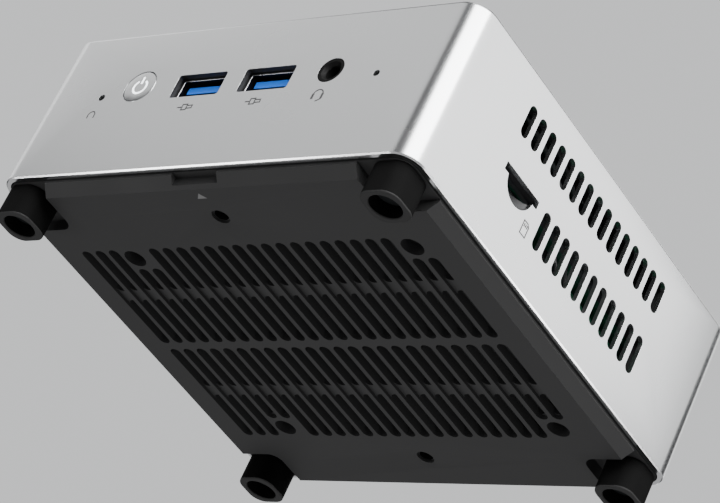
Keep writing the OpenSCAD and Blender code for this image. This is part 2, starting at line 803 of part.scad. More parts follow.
module cold_plate() color([0.80, 0.45, 0.30]) translate([cpu_x, cpu_y, plate_z + touch]) {
    block(plate_w, plate_d, 1.6);
    translate([pipe_x - cpu_x, 0, 0]) block(pipe_w + 4, plate_d, plate_h - 2 * touch);
}

module flat_pipe(l) {
    rotate([-90, 0, 0]) linear_extrude(l) stadium_flat(pipe_w, pipe_h);
}

// Flattened pipe: over the cold plate, back along the board, then across through the fins
module heat_pipe() color([0.85, 0.50, 0.32]) translate([0, 0, pipe_z + pipe_h / 2]) {
    y0 = cpu_y - plate_d / 2 + 2;
    y1 = fin_y - pipe_bend;
    translate([pipe_x, y0, 0]) flat_pipe(y1 - y0);
    translate([pipe_x + pipe_bend, y1, 0]) rotate([0, 0, 90]) rotate_extrude(angle = 90)
        translate([pipe_bend, 0]) stadium_flat(pipe_w, pipe_h);
    translate([pipe_x + pipe_bend, fin_y, 0]) rotate([0, 0, -90])
        flat_pipe(fan_x + blower_w / 2 - 1 - pipe_x - pipe_bend);
}

module heat_sink_fins() color([0.72, 0.73, 0.75]) {
    pitch = (blower_w - fin_t) / (fin_count - 1);
    difference() {
        union() {
            for (i = [0 : fin_count - 1])
                translate([fan_x - blower_w / 2 + i * pitch, fin_y - fin_d / 2, fin_z]) cube([fin_t, fin_d, fin_h]);
            for (z = [fin_z, fin_z + fin_h - 0.4]) translate([fan_x, fin_y, z]) block(blower_w, fin_d, 0.4);
        }
        translate([fan_x - blower_w / 2 - through, fin_y, pipe_z + pipe_h / 2]) rotate([0, 0, -90])
            rotate([-90, 0, 0]) linear_extrude(blower_w + 2 * through)
                stadium_flat(pipe_w + 2 * touch, pipe_h + 2 * touch);
    }
}

module at_cooler_legs() {
    for (x = [-1, 1]) for (y = [blower_y0 + leg_inset, blower_y1 - leg_inset])
        translate([fan_x + x * (blower_w / 2 - leg_inset), y, 0]) children();
}

// Blower: floor, wall round three sides, open towards the fins
module blower_housing() color([0.09, 0.09, 0.10]) {
    mid_y = (blower_y0 + blower_y1) / 2;
    len = blower_y1 - blower_y0;
    difference() {
        union() {
            translate([fan_x, mid_y, blower_z]) block(blower_w, len, blower_h - 1);
            at_cooler_legs() translate([0, 0, board_top + touch]) cylinder(d = leg_d, h = blower_z - board_top);
        }
        difference() {
            union() {
                translate([fan_x, fan_y, blower_z + 1.2]) cylinder(d = rotor_d + 5, h = blower_h);
                translate([fan_x, fan_y + (rotor_d + 20) / 2, blower_z + 1.2])
                    block(rotor_d + 5, rotor_d + 20, blower_h);
            }
            at_cooler_legs() translate([0, 0, blower_z]) cylinder(d = leg_d, h = blower_h);
        }
        for (a = [30 : 60 : 330]) translate([fan_x, fan_y, blower_z - through]) rotate([0, 0, a])
            translate([12, 0, 0]) cylinder(d = 5, h = 3);
        translate([fan_x, fan_y, blower_z - through]) cylinder(d = bearing_d, h = 3);
        at_cooler_legs() translate([0, 0, board_top - through]) cylinder(d = 2.2, h = 6);
    }
}

module blower_cover() color([0.70, 0.71, 0.73]) difference() {
    translate([fan_x, (blower_y0 + blower_y1) / 2, blower_z + blower_h - 1 + touch])
        block(blower_w, blower_y1 - blower_y0, 0.6);
    translate([fan_x, fan_y, blower_z]) cylinder(d = rotor_d - 12, h = 2 * blower_h);
}

module fan_rotor() color([0.13, 0.13, 0.14]) translate([fan_x, fan_y, rotor_z]) {
    difference() {
        cylinder(d = hub_d, h = rotor_h);
        translate([0, 0, -through]) cylinder(d = hub_d - 2 * hub_wall, h = rotor_h - 1.2 + through);
        cylinder(d = shaft_d, h = 2 * rotor_h);
    }
    linear_extrude(rotor_h - 1) difference() {
        union() {
            for (i = [0 : blade_count - 1]) rotate(i * 360 / blade_count)
                translate([hub_d / 2 - 0.3, 0]) rotate(24) translate([0, -0.3])
                    square([(rotor_d - hub_d) / 2 * 1.02, 0.6]);
            difference() {
                circle(d = rotor_d);
                circle(d = rotor_d - 1.2);
            }
        }
        circle(d = hub_d - 2 * hub_wall);
    }
}

module fan_shaft() color([0.80, 0.80, 0.82]) translate([fan_x, fan_y, blower_z + 0.2])
    cylinder(d = shaft_d, h = rotor_z + rotor_h - blower_z - 0.2);

module fan_bearing() color([0.75, 0.60, 0.30]) translate([fan_x, fan_y, blower_z]) difference() {
    cylinder(d = bearing_d - 2 * touch, h = bearing_h + 1.2);
    translate([0, 0, -through]) cylinder(d = shaft_d + 2 * shaft_gap, h = bearing_h + 5);
}

// Coil of the fan's motor: six poles round the bearing, inside the hub
module fan_coil() color([0.75, 0.40, 0.20]) translate([fan_x, fan_y, blower_z + 1.2 + touch]) difference() {
    union() {
        cylinder(d = bearing_d + 2.4, h = 4);
        for (a = [0 : 60 : 300]) rotate([0, 0, a]) translate([bearing_d / 2 + 0.6, -1.1, 0.6]) cube([4, 2.2, 2.8]);
    }
    translate([0, 0, -through]) cylinder(d = bearing_d, h = 6);
}

module cooler_screws() color([0.70, 0.70, 0.72]) at_cooler_legs()
    translate([0, 0, board_z - touch]) screw(2, board_t + 3.5, 4, 1.3, 1.4);

// ---- Cards and small parts on the mainboard ----

module memory_sockets() color([0.12, 0.12, 0.13]) for (y = dimm_rows) {
    z = board_z - dimm_bar_h;
    difference() {
        translate([dimm_x, y - 0.8, z]) block(dimm_w + 4, dimm_bar_d, dimm_bar_h - touch);
        translate([dimm_x, y - dimm_d / 2, z + 1.2]) block(dimm_w + 0.3, dimm_d, dimm_t + 0.2);
    }
    for (x = [-1, 1]) translate([dimm_x + x * (dimm_w / 2 + 1.2), y - dimm_d / 2 - 0.6, z + 0.6])
        block(1.6, dimm_d - 2.8, dimm_bar_h - 1.2);
}

module memory_modules() color([0.06, 0.28, 0.15]) for (y = dimm_rows) {
    z = board_z - dimm_bar_h + 1.3;
    translate([dimm_x, y - dimm_d / 2, z]) block(dimm_w, dimm_d, dimm_t);
    for (i = [-1.5 : 1 : 1.5]) translate([dimm_x + i * 16, y - dimm_d / 2 - 3, z - 0.9]) block(10, 13, 0.9 + touch);
}

module ssd_socket() color([0.12, 0.12, 0.13]) difference() {
    translate([ssd_x0 + 1, ssd_y, board_z - m2_bar_h]) block(m2_bar_d - 1, m2_w, m2_bar_h - touch);
    translate([ssd_x0, ssd_y - m2_w / 2 + 0.8, m2_z - 0.05]) cube([10, m2_w - 1.6, m2_t + 0.1]);
}

module ssd_card() color([0.08, 0.20, 0.32]) {
    difference() {
        union() {
            translate([ssd_x0 + 0.2, ssd_y - m2_w / 2 + 1, m2_z]) cube([10, m2_w - 2, m2_t]);
            translate([ssd_x0 + 5.2, ssd_y - m2_w / 2, m2_z]) cube([ssd_l - 5.2, m2_w, m2_t]);
        }
        translate([ssd_x0 + ssd_l, ssd_y, m2_z - through]) cylinder(d = 3.4, h = 3);
    }
    for (i = [0 : 2]) translate([ssd_x0 + 20 + i * 20, ssd_y, m2_z - 1]) block(14, 17, 1 + touch);
}

module wifi_socket() color([0.12, 0.12, 0.13]) difference() {
    translate([wifi_x, wifi_y0 + 1, board_z - m2_bar_h]) block(m2_w, m2_bar_d - 1, m2_bar_h - touch);
    translate([wifi_x - m2_w / 2 + 0.8, wifi_y0, m2_z - 0.05]) cube([m2_w - 1.6, 10, m2_t + 0.1]);
}

module wifi_card() color([0.08, 0.30, 0.18]) {
    difference() {
        union() {
            translate([wifi_x - m2_w / 2 + 1, wifi_y0 + 0.2, m2_z]) cube([m2_w - 2, 10, m2_t]);
            translate([wifi_x - m2_w / 2, wifi_y0 + 5.2, m2_z]) cube([m2_w, wifi_l - 5.2, m2_t]);
        }
        translate([wifi_x, wifi_y0 + wifi_l, m2_z - through]) cylinder(d = 3.4, h = 3);
    }
    translate([wifi_x, wifi_y0 + 15, m2_z - 1.4]) block(14, 11, 1.4 + touch);
    for (x = wifi_plug_x) translate([wifi_x + x, wifi_plug_y, m2_z - 0.9]) cylinder(d = 2.4, h = 0.9 + touch);
}

module at_card_ends() {
    translate([ssd_x0 + ssd_l, ssd_y, 0]) children();
    translate([wifi_x, wifi_y0 + wifi_l, 0]) children();
}

module card_standoffs() color([0.80, 0.65, 0.30]) at_card_ends() translate([0, 0, m2_z + m2_t + touch])
    threaded_insert(4, board_z - m2_z - m2_t - 2 * touch, 2.1);

module card_screws() color([0.70, 0.70, 0.72]) at_card_ends() translate([0, 0, m2_z - touch])
    screw(2, m2_t + 1.4, 4.4, 0.7, 1.2);

module coin_cell() color([0.80, 0.80, 0.78]) translate([cpu_x - 3, cpu_y - 31, board_top + touch])
    cylinder(d = 20, h = 3.2);

module power_inductors() color([0.25, 0.25, 0.26])
    for (i = [0 : 2]) translate([-12 + i * 9, blower_y0 - 6, board_top + touch]) block(7, 7, 3);

module board_chips() color([0.08, 0.08, 0.08]) {
    translate([fan_x, fan_y, board_top + touch]) block(14, 14, 1.1);
    translate([fan_x + 1, blower_y0 - 7, board_top + touch]) block(10, 10, 1.1);
    translate([fan_x + 14, blower_y0 - 7, board_top + touch]) block(8, 8, 1.1);
}

module antennas() color([0.90, 0.70, 0.20]) for (x = [-1, 1])
    translate([x * antenna_x, antenna_y, lid_z - 0.3]) block(30, 8, 0.3 - touch);

// Round tube through a list of points, with eight sides
function tube_dir(p, i) =
    let (a = p[max(0, i - 1)], b = p[min(len(p) - 1, i + 1)], d = b - a) d / norm(d);
function tube_ring(p, i, r) =
    let (t = tube_dir(p, i), u0 = cross(t, [0.31, 0.52, 0.79]), u = u0 / norm(u0), v = cross(t, u))
    [for (k = [0 : 7]) p[i] + r * (cos(k * 45) * u + sin(k * 45) * v)];

// A smooth curve through the route's points, four steps to each stretch
function smooth(p) = [
    for (i = [0 : len(p) - 2]) for (s = [0 : 3])
        let (t = s / 4, a = p[max(0, i - 1)], b = p[i], c = p[i + 1], d = p[min(len(p) - 1, i + 2)])
        0.5 * (2 * b + (c - a) * t + (2 * a - 5 * b + 4 * c - d) * t * t + (3 * b - a - 3 * c + d) * t * t * t),
    p[len(p) - 1]
];

module tube(route, r) {
    p = smooth(route);
    n = len(p);
    polyhedron(
        points = [for (i = [0 : n - 1]) each tube_ring(p, i, r)],
        faces = concat(
            [[for (k = [7 : -1 : 0]) k]],
            [for (i = [0 : n - 2]) for (k = [0 : 7])
                each [[i * 8 + k, i * 8 + (k + 1) % 8, (i + 1) * 8 + (k + 1) % 8],
                      [i * 8 + k, (i + 1) * 8 + (k + 1) % 8, (i + 1) * 8 + k]]],
            [[for (k = [0 : 7]) (n - 1) * 8 + k]]
        )
    );
}

// Aerial leads: from each aerial under the lid, down past the right edge of the board, to the radio card
module antenna_leads() color([0.15, 0.15, 0.16]) {
    top = lid_z - 0.3 - lead_r - 0.1;
    plug = m2_z - 0.9 - lead_r - 0.1;
    low = plug - 0.6;
    for (side = [0, 1]) {
        start = side == 0 ? [antenna_x + 8, antenna_y, top] : [8 - antenna_x, antenna_y, top];
        way = side == 0
            ? [[lead_gap_x - 1, antenna_y + 4, top - 0.6]]
            : [[-10, antenna_y - 6, top - 0.2], [20, antenna_y - 8, top - 0.2],
               [lead_gap_x - 6, antenna_y - 5, top - 0.6], [lead_gap_x - 0.6, antenna_y + 2, top - 2.6]];
        y = 1 - 5 * side;
        end_x = wifi_x + wifi_plug_x[1 - side];
        tube(concat([start], way, [
            [lead_gap_x, y - 8, top - 4 - 2 * side],
            [lead_gap_x, y, board_top + 3],
            [lead_gap_x, y + 1, board_z - 1],
            [lead_gap_x - 1, y + 5, low],
            [end_x + 3, wifi_plug_y - 6, low],
            [end_x, wifi_plug_y, plug]]), lead_r);
    }
}

// ---- Switches ----

module power_glyph(grow) {
    difference() {
        circle(d = symbol_ring_d + symbol_line + 2 * grow);
        circle(d = symbol_ring_d - symbol_line - 2 * grow);
        polygon([[0, 0], [2.2 - grow, 4], [grow - 2.2, 4]]);
    }
    translate([0, symbol_ring_d / 2]) square([symbol_line + 2 * grow, symbol_bar + 2 * grow], center = true);
}

module power_button_cap() color([0.78, 0.79, 0.80]) translate([button_x, 0, button_z]) difference() {
    union() {
        translate([0, -half_d, 0]) along_y(sleeve_t + touch + 0.2) circle(d = button_d);
        translate([0, -sleeve_in_d + touch, 0]) along_y(button_flange_t) circle(d = button_flange_d);
    }
    translate([0, -half_d - through, 0]) along_y(6) power_glyph(touch);
}

// Clear symbol that fills the cap's cut-out and lights it, with the stub that presses the switch
module power_symbol() color([0.95, 0.97, 1.0]) translate([button_x, 0, button_z]) {
    translate([0, -half_d, 0]) along_y(button_back_y + half_d + 0.2) power_glyph(0);
    translate([0, button_back_y + touch, 0]) along_y(0.8) circle(d = button_d - 1);
    translate([0, button_back_y + 0.4, 0]) along_y(switch_y - button_back_y - 0.4 - 1.4) circle(d = 3);
}

module switch_body(x, z, y, w, h, l, stem, travel) {
    difference() {
        translate([x - w / 2, y, board_top + touch]) cube([w, l, h]);
        translate([x, y - through, z]) along_y(1.6 + travel + through) circle(d = stem + 0.2);
    }
}

module power_switch() color([0.10, 0.10, 0.11])
    switch_body(button_x, button_z, switch_y, 7, button_up + 3, 4, stem_d, button_travel);

module power_switch_stem() color([0.85, 0.85, 0.83])
    translate([button_x, switch_y - 1.4 + touch, button_z]) along_y(2.6) circle(d = stem_d);

module reset_switch() color([0.70, 0.70, 0.72])
    switch_body(-pinhole_x, pinhole_z, reset_y, 4.5, pinhole_up + 1.6, 3.2, 1.4, reset_travel);

module reset_switch_stem() color([0.12, 0.12, 0.13])
    translate([-pinhole_x, reset_y - 0.7, pinhole_z]) along_y(1.9) circle(d = 1.4);

module microphone() color([0.75, 0.75, 0.70])
    translate([pinhole_x, -frame_in_d + 3.8, board_top + touch]) block(4, 3, pinhole_up + 1.4);

// Rubber sleeve from the sleeve's pinhole to the microphone
module mic_gasket() color([0.14, 0.14, 0.14])
    translate([pinhole_x, -sleeve_in_d + touch, pinhole_z]) along_y(sleeve_in_d - frame_in_d + 2.3 - 2 * touch)
        difference() {
            circle(d = 3.2);
            circle(d = 1.8);
        }

// ---- Sockets ----

// Places one socket's shape, drawn with its mouth at y = 0 facing -Y, at the front or the back
module at_usb() {
    for (x = front_usb_x) translate([x, -sleeve_in_d + 0.3, board_top + touch]) children();
    for (x = rear_usb_x) translate([x, sleeve_in_d - 0.1, board_top + touch]) rotate([0, 0, 180]) children();
}

module socket_shell(w, h, l, wall) {
    difference() {
        translate([-w / 2, 0, 0]) cube([w, l, h]);
        translate([-w / 2 + wall, -through, wall]) cube([w - 2 * wall, l - 1 + through, h - 2 * wall]);
    }
}

module usb_shells() color([0.80, 0.80, 0.82]) at_usb() socket_shell(usb_w, usb_h - 2 * touch, usb_l, 0.4);

module usb_tongues() color([0.10, 0.40, 0.95]) at_usb() {
    translate([-5.6, 1.6, usb_h - 0.4 - 1 - 1.9]) cube([11.2, usb_l - 3.4, 1.9]);
    translate([-6, usb_l - 2.2, 0.4]) cube([12, 1.2 - touch, usb_h - 0.8 - 2 * touch]);
}

// 3.5 mm jack: body on the board and a nozzle that fills the sleeve's round hole
module audio_jack() color([0.10, 0.10, 0.11]) {
    body_h = jack_up + 3.3;
    difference() {
        union() {
            translate([jack_x, -frame_in_d + 0.5, board_top + touch]) translate([-3.5, 0, 0]) cube([7, 12, body_h]);
            translate([jack_x, -half_d + 0.1, jack_z]) along_y(half_d - frame_in_d + 1) circle(d = jack_hole_d - 0.2);
        }
        translate([jack_x, -half_d - through, jack_z]) along_y(13 + through) circle(d = jack_bore_d);
        translate([jack_x, -half_d + 0.1, jack_z]) rotate([-90, 0, 0])
            cylinder(d1 = jack_bore_d + 1.4, d2 = jack_bore_d, h = 0.8);
    }
}

module card_socket() color([0.78, 0.78, 0.80]) {
    x1 = frame_in_w - card_block_t - 0.1;
    z0 = card_z - card_socket_t / 2;
    difference() {
        translate([x1 - card_socket_l, card_y - card_socket_w / 2, z0])
            cube([card_socket_l, card_socket_w, board_z - z0 - touch]);
        translate([x1 - card_socket_l + 1, card_y - card_slot_w / 2 + 0.9, card_z - 0.5])
            cube([card_socket_l, card_slot_w - 1.8, 1]);
    }
}

// Slider of the push-push card lock: it sits at the back of the socket
module card_slider() color([0.10, 0.10, 0.11])
    translate([frame_in_w - card_block_t - 0.1 - card_socket_l + 1 + card_travel + 0.3, card_y - 5, card_z - 0.4])
        cube([2, 10, 0.8]);

module hdmi_port() color([0.78, 0.78, 0.80])
    translate([hdmi_x, sleeve_in_d - 0.1, board_top + touch]) rotate([0, 0, 180]) {
        socket_shell(hdmi_w, hdmi_h, hdmi_l, 0.5);
        translate([-5.5, 1.2, hdmi_h / 2 - 0.5]) cube([11, hdmi_l - 2, 1]);
    }

module usb_c_port() color([0.78, 0.78, 0.80])
    translate([usb_c_x, sleeve_in_d - 0.1, board_top + touch]) rotate([0, 0, 180]) {
        difference() {
            translate([0, 0, usb_c_h / 2]) along_y(usb_c_l) stadium_flat(usb_c_w, usb_c_h);
            translate([0, -through, usb_c_h / 2]) along_y(usb_c_l - 1 + through)
                stadium_flat(usb_c_w - 0.7, usb_c_h - 0.7);
        }
        translate([-3.3, 0.8, usb_c_h / 2 - 0.35]) cube([6.6, usb_c_l - 1.4, 0.7]);
    }

// Network socket: a box with a stepped mouth for the plug and its latch
module network_port() color([0.70, 0.71, 0.73])
    translate([net_x, sleeve_in_d - 0.1, board_top + touch]) rotate([0, 0, 180]) difference() {
        translate([-net_w / 2, 0, 0]) cube([net_w, net_l, net_h]);
        translate([-5.9, -through, 4]) cube([11.8, 13 + through, 7.6]);
        translate([-3.2, -through, 2]) cube([6.4, 9 + through, 4]);
    }

module dc_jack() color([0.09, 0.09, 0.10])
    translate([dc_x, sleeve_in_d - 0.1, board_top + touch]) rotate([0, 0, 180]) {
        difference() {
            union() {
                translate([-dc_body_w / 2, 1.6, 0]) cube([dc_body_w, dc_l, dc_h - touch]);
                translate([0, 0, dc_axis_up]) along_y(2) circle(d = dc_nose_d);
            }
            translate([0, -through, dc_axis_up]) along_y(9.5 + through) circle(d = dc_bore_d);
        }
        translate([0, 1, dc_axis_up]) along_y(10) circle(d = dc_pin_d);
    }

shell();
top_lid();
inner_frame();
rear_panel();
bottom_cover();
feet();
cover_screws();
screw_retainers();
post_inserts();
bracket_inserts();
drive_screws();
storage_drive();
sata_plug();
sata_flex();
sata_header();
mainboard();
board_screws();
board_inserts();
processor();
cold_plate();
heat_pipe();
heat_sink_fins();
blower_housing();
blower_cover();
fan_rotor();
fan_shaft();
fan_bearing();
fan_coil();
cooler_screws();
memory_sockets();
memory_modules();
ssd_socket();
ssd_card();
wifi_socket();
wifi_card();
card_standoffs();
card_screws();
coin_cell();
antennas();
antenna_leads();
power_button_cap();
power_symbol();
power_switch();
power_switch_stem();
reset_switch();
reset_switch_stem();
microphone();
mic_gasket();
usb_shells();
usb_tongues();
audio_jack();
card_socket();
card_slider();
hdmi_port();
usb_c_port();
network_port();
dc_jack();
power_inductors();
board_chips();
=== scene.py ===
# %% [markdown]
# # A palm-size desktop computer
# The computer is an aluminium sleeve round a black plastic frame, closed below by a slotted cover on four
# rubber feet. Its parts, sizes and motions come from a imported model, the frame of this scene. Here the
# visible pieces are made again with rounded edges and real detail, and every piece gets a finish of its own.

# %% Load the frame
import json
import math

import bmesh
import bpy
from mathutils import Matrix, Vector


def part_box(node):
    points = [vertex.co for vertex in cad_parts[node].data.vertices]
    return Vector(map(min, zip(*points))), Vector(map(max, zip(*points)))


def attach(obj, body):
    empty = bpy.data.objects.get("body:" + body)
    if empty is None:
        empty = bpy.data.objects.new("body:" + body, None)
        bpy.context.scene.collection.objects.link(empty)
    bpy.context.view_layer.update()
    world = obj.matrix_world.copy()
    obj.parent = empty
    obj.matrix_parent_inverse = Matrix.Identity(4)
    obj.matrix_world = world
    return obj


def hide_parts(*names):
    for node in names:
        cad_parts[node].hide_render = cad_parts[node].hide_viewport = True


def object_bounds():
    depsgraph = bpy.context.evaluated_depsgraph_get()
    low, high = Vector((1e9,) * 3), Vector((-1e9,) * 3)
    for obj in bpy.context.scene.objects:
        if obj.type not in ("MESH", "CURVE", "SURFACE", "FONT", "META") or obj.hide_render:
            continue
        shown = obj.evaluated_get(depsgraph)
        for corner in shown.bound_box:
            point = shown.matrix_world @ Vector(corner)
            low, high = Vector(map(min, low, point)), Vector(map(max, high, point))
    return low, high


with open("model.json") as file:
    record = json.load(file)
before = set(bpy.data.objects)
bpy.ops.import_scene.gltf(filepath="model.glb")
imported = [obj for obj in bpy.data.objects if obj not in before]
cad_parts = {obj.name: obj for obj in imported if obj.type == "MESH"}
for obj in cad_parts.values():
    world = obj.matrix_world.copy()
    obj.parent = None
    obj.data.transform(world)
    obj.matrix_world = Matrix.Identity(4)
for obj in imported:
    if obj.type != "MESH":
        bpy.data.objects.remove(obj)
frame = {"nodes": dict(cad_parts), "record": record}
cad_low, cad_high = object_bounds()
MM = 0.001
NEAR = 0.01 * MM
print("frame size in mm:", [round(v / MM, 2) for v in cad_high - cad_low])

# %% [markdown]
# ## Camera
# The computer is seen from below its front right corner, so the camera stands under table height and looks
# up. Its place is given from the middle of the case, and its three directions are given as unit vectors,
# because it is also rolled a little about its own line of sight. A long lens keeps the edges nearly parallel.

# %% Camera
LENS_MM = 148.8
SENSOR_MM = 36
camera_data = bpy.data.cameras.new("camera")
camera_data.sensor_width = SENSOR_MM
camera_data.lens = LENS_MM
camera_data.clip_start = 0.01
camera = bpy.data.objects.new("camera", camera_data)
bpy.context.scene.collection.objects.link(camera)
camera_right = Vector((0.7710, 0.5115, 0.3792))
camera_up = Vector((0.0319, -0.6258, 0.7793))
camera_back = Vector((0.6360, -0.5887, -0.4989))
camera_place = Vector((0.4136, -0.3858, -0.2962))
camera.matrix_world = Matrix.Translation(camera_place) @ Matrix(
    (camera_right, camera_up, camera_back)).transposed().to_4x4()
bpy.context.scene.camera = camera
print("camera looks along", [round(v, 2) for v in -camera_back])

# %% [markdown]
# ## Studio
# Satin metal shows mostly what stands round it, so its look is made by soft boxes in a dark room. One box is
# what the front reflects, one is for the right side, and a much brighter one between them makes the band on
# the upright corner. The gap between the front's box and the bright one is the dark streak beside that band.
# Two small boxes below light the cut rim. Below the horizon the room is pale, as a floor is, so that the metal
# is bright from above too. Where the camera looks straight at the world, it is pale all round.

# %% World and soft boxes
ROOM_BELOW = (0.42, 0.42, 0.425, 1)
ROOM_ABOVE = (0.035, 0.035, 0.037, 1)
ROOM_SEEN = (0.78, 0.79, 0.80, 1)
world = bpy.data.worlds.new("studio")
bpy.context.scene.world = world
world.use_nodes = True
world_nodes = world.node_tree.nodes
world_links = world.node_tree.links
world_nodes.clear()
world_out = world_nodes.new("ShaderNodeOutputWorld")
world_mix = world_nodes.new("ShaderNodeMixShader")
world_light = world_nodes.new("ShaderNodeBackground")
world_seen = world_nodes.new("ShaderNodeBackground")
world_seen.inputs["Color"].default_value = ROOM_SEEN
world_way = world_nodes.new("ShaderNodeTexCoord")
world_axes = world_nodes.new("ShaderNodeSeparateXYZ")
world_up = world_nodes.new("ShaderNodeMapRange")
world_up.inputs["From Min"].default_value = -0.22
world_up.inputs["From Max"].default_value = -0.02
world_tone = world_nodes.new("ShaderNodeMix")
world_tone.data_type = "RGBA"
world_tone.inputs["A"].default_value = ROOM_BELOW
world_tone.inputs["B"].default_value = ROOM_ABOVE
world_links.new(world_way.outputs["Generated"], world_axes.inputs[0])
world_links.new(world_axes.outputs["Z"], world_up.inputs["Value"])
world_links.new(world_up.outputs["Result"], world_tone.inputs["Factor"])
world_links.new(world_tone.outputs["Result"], world_light.inputs["Color"])
world_path = world_nodes.new("ShaderNodeLightPath")
world_links.new(world_path.outputs["Is Camera Ray"], world_mix.inputs["Fac"])
world_links.new(world_light.outputs[0], world_mix.inputs[1])
world_links.new(world_seen.outputs[0], world_mix.inputs[2])
world_links.new(world_mix.outputs[0], world_out.inputs["Surface"])

case_middle = (cad_low + cad_high) / 2


def soft_box(name, azimuth, elevation, distance, width, height, watts):
    """A rectangular lamp that faces the case: its azimuth is measured from +X, its elevation from the floor."""
    data = bpy.data.lights.new(name, "AREA")
    data.shape = "RECTANGLE"
    data.size = width
    data.size_y = height
    data.energy = watts
    lamp = bpy.data.objects.new(name, data)
    bpy.context.scene.collection.objects.link(lamp)
    a, e = math.radians(azimuth), math.radians(elevation)
    away = Vector((math.cos(a) * math.cos(e), math.sin(a) * math.cos(e), math.sin(e)))
    lamp.location = case_middle + away * distance
    lamp.rotation_mode = "QUATERNION"
    lamp.rotation_quaternion = (-away).to_track_quat("-Z", "Y")


soft_boxes = (  # name, azimuth, elevation, distance, width, height, power in watts
    ("front_box", -140, 38, 0.9, 0.85, 0.45, 1.15),
    ("corner_box", -37, 30, 0.8, 0.75, 0.8, 22),
    ("side_box", 20, 34, 0.65, 0.7, 0.5, 2.9),
    ("rear_box", 120, 35, 1.1, 0.8, 0.8, 4),
    ("left_box", 180, 30, 1.1, 0.6, 0.8, 2),
    ("top_box", -90, 85, 1.2, 0.7, 0.7, 3),
    ("under_box", 10, -80, 0.9, 0.5, 0.5, 1.5),
    ("front_rim_box", -142, -36, 0.8, 0.18, 0.18, 0.8),
    ("side_rim_box", 50, -40, 0.8, 0.18, 0.18, 0.8),
)
for box in soft_boxes:
    soft_box(*box)
print("soft boxes:", len(soft_boxes))

# %% [markdown]
# ## Floor
# The floor has to show a soft contact shadow from above, yet it must not hide the computer from a camera
# that looks up through it. So it is seen only from its upper side: on its back the shader is clear. It is
# also kept out of reflections and of shadows, and the underside is lit as if it hung in the studio.

# %% Floor that is clear from below
bpy.ops.object.select_all(action="DESELECT")
bpy.ops.mesh.primitive_plane_add(size=3, location=(0, 0, cad_low.z - 0.05 * MM))
floor = bpy.context.object
floor.name = "floor"
floor.visible_diffuse = False
floor.visible_glossy = False
floor.visible_shadow = False
floor_paint = bpy.data.materials.new("pale_floor")
floor_paint.use_nodes = True
floor_nodes = floor_paint.node_tree.nodes
floor_links = floor_paint.node_tree.links
floor_nodes.clear()
floor_out = floor_nodes.new("ShaderNodeOutputMaterial")
floor_mix = floor_nodes.new("ShaderNodeMixShader")
floor_matt = floor_nodes.new("ShaderNodeBsdfDiffuse")
floor_matt.inputs["Color"].default_value = (0.82, 0.82, 0.81, 1)
floor_clear = floor_nodes.new("ShaderNodeBsdfTransparent")
floor_side = floor_nodes.new("ShaderNodeNewGeometry")
floor_links.new(floor_side.outputs["Backfacing"], floor_mix.inputs["Fac"])
floor_links.new(floor_matt.outputs[0], floor_mix.inputs[1])
floor_links.new(floor_clear.outputs[0], floor_mix.inputs[2])
floor_links.new(floor_mix.outputs[0], floor_out.inputs["Surface"])
floor.data.materials.append(floor_paint)

# %% [markdown]
# ## Grain, for every finish
# Blasted metal, spark-eroded plastic and rubber all have a fine grain: small bumps, and a gloss that varies
# a little from place to place. That is one effect with different sizes, so it is one node group with inputs
# for the grain's size and depth and for the two ends of the gloss. It reads Object coordinates, so that the
# grain has its real size on every piece.

# %% Shared grain group
def make_grain_group():
    """Node group: rough gloss variation and a fine bump, from two noises of a given grain size."""
    tree = bpy.data.node_groups.new("Grain", "ShaderNodeTree")
    for name, value in (("Grains per metre", 3000.0), ("Depth", 0.00001), ("Low gloss", 0.4),
                        ("High gloss", 0.5), ("Cloud size", 40.0)):
        tree.interface.new_socket(name, in_out="INPUT", socket_type="NodeSocketFloat").default_value = value
    tree.interface.new_socket("Roughness", in_out="OUTPUT", socket_type="NodeSocketFloat")
    tree.interface.new_socket("Cloud", in_out="OUTPUT", socket_type="NodeSocketFloat")
    tree.interface.new_socket("Speck", in_out="OUTPUT", socket_type="NodeSocketFloat")
    tree.interface.new_socket("Normal", in_out="OUTPUT", socket_type="NodeSocketVector")
    nodes, links = tree.nodes, tree.links
    given = nodes.new("NodeGroupInput")
    out = nodes.new("NodeGroupOutput")
    place = nodes.new("ShaderNodeTexCoord")
    fine = nodes.new("ShaderNodeTexNoise")
    fine.inputs["Detail"].default_value = 2.0
    cloud = nodes.new("ShaderNodeTexNoise")
    cloud.inputs["Detail"].default_value = 3.0
    blend = nodes.new("ShaderNodeMapRange")
    blend.inputs["From Min"].default_value = 0.3
    blend.inputs["From Max"].default_value = 0.7
    bump = nodes.new("ShaderNodeBump")
    bump.inputs["Strength"].default_value = 1.0
    links.new(place.outputs["Object"], fine.inputs["Vector"])
    links.new(place.outputs["Object"], cloud.inputs["Vector"])
    links.new(given.outputs["Grains per metre"], fine.inputs["Scale"])
    links.new(given.outputs["Cloud size"], cloud.inputs["Scale"])
    links.new(cloud.outputs["Fac"], blend.inputs["Value"])
    links.new(given.outputs["Low gloss"], blend.inputs["To Min"])
    links.new(given.outputs["High gloss"], blend.inputs["To Max"])
    links.new(fine.outputs["Fac"], bump.inputs["Height"])
    links.new(given.outputs["Depth"], bump.inputs["Distance"])
    links.new(blend.outputs["Result"], out.inputs["Roughness"])
    links.new(cloud.outputs["Fac"], out.inputs["Cloud"])
    links.new(fine.outputs["Fac"], out.inputs["Speck"])
    links.new(bump.outputs["Normal"], out.inputs["Normal"])
    return tree


grain_group = make_grain_group()


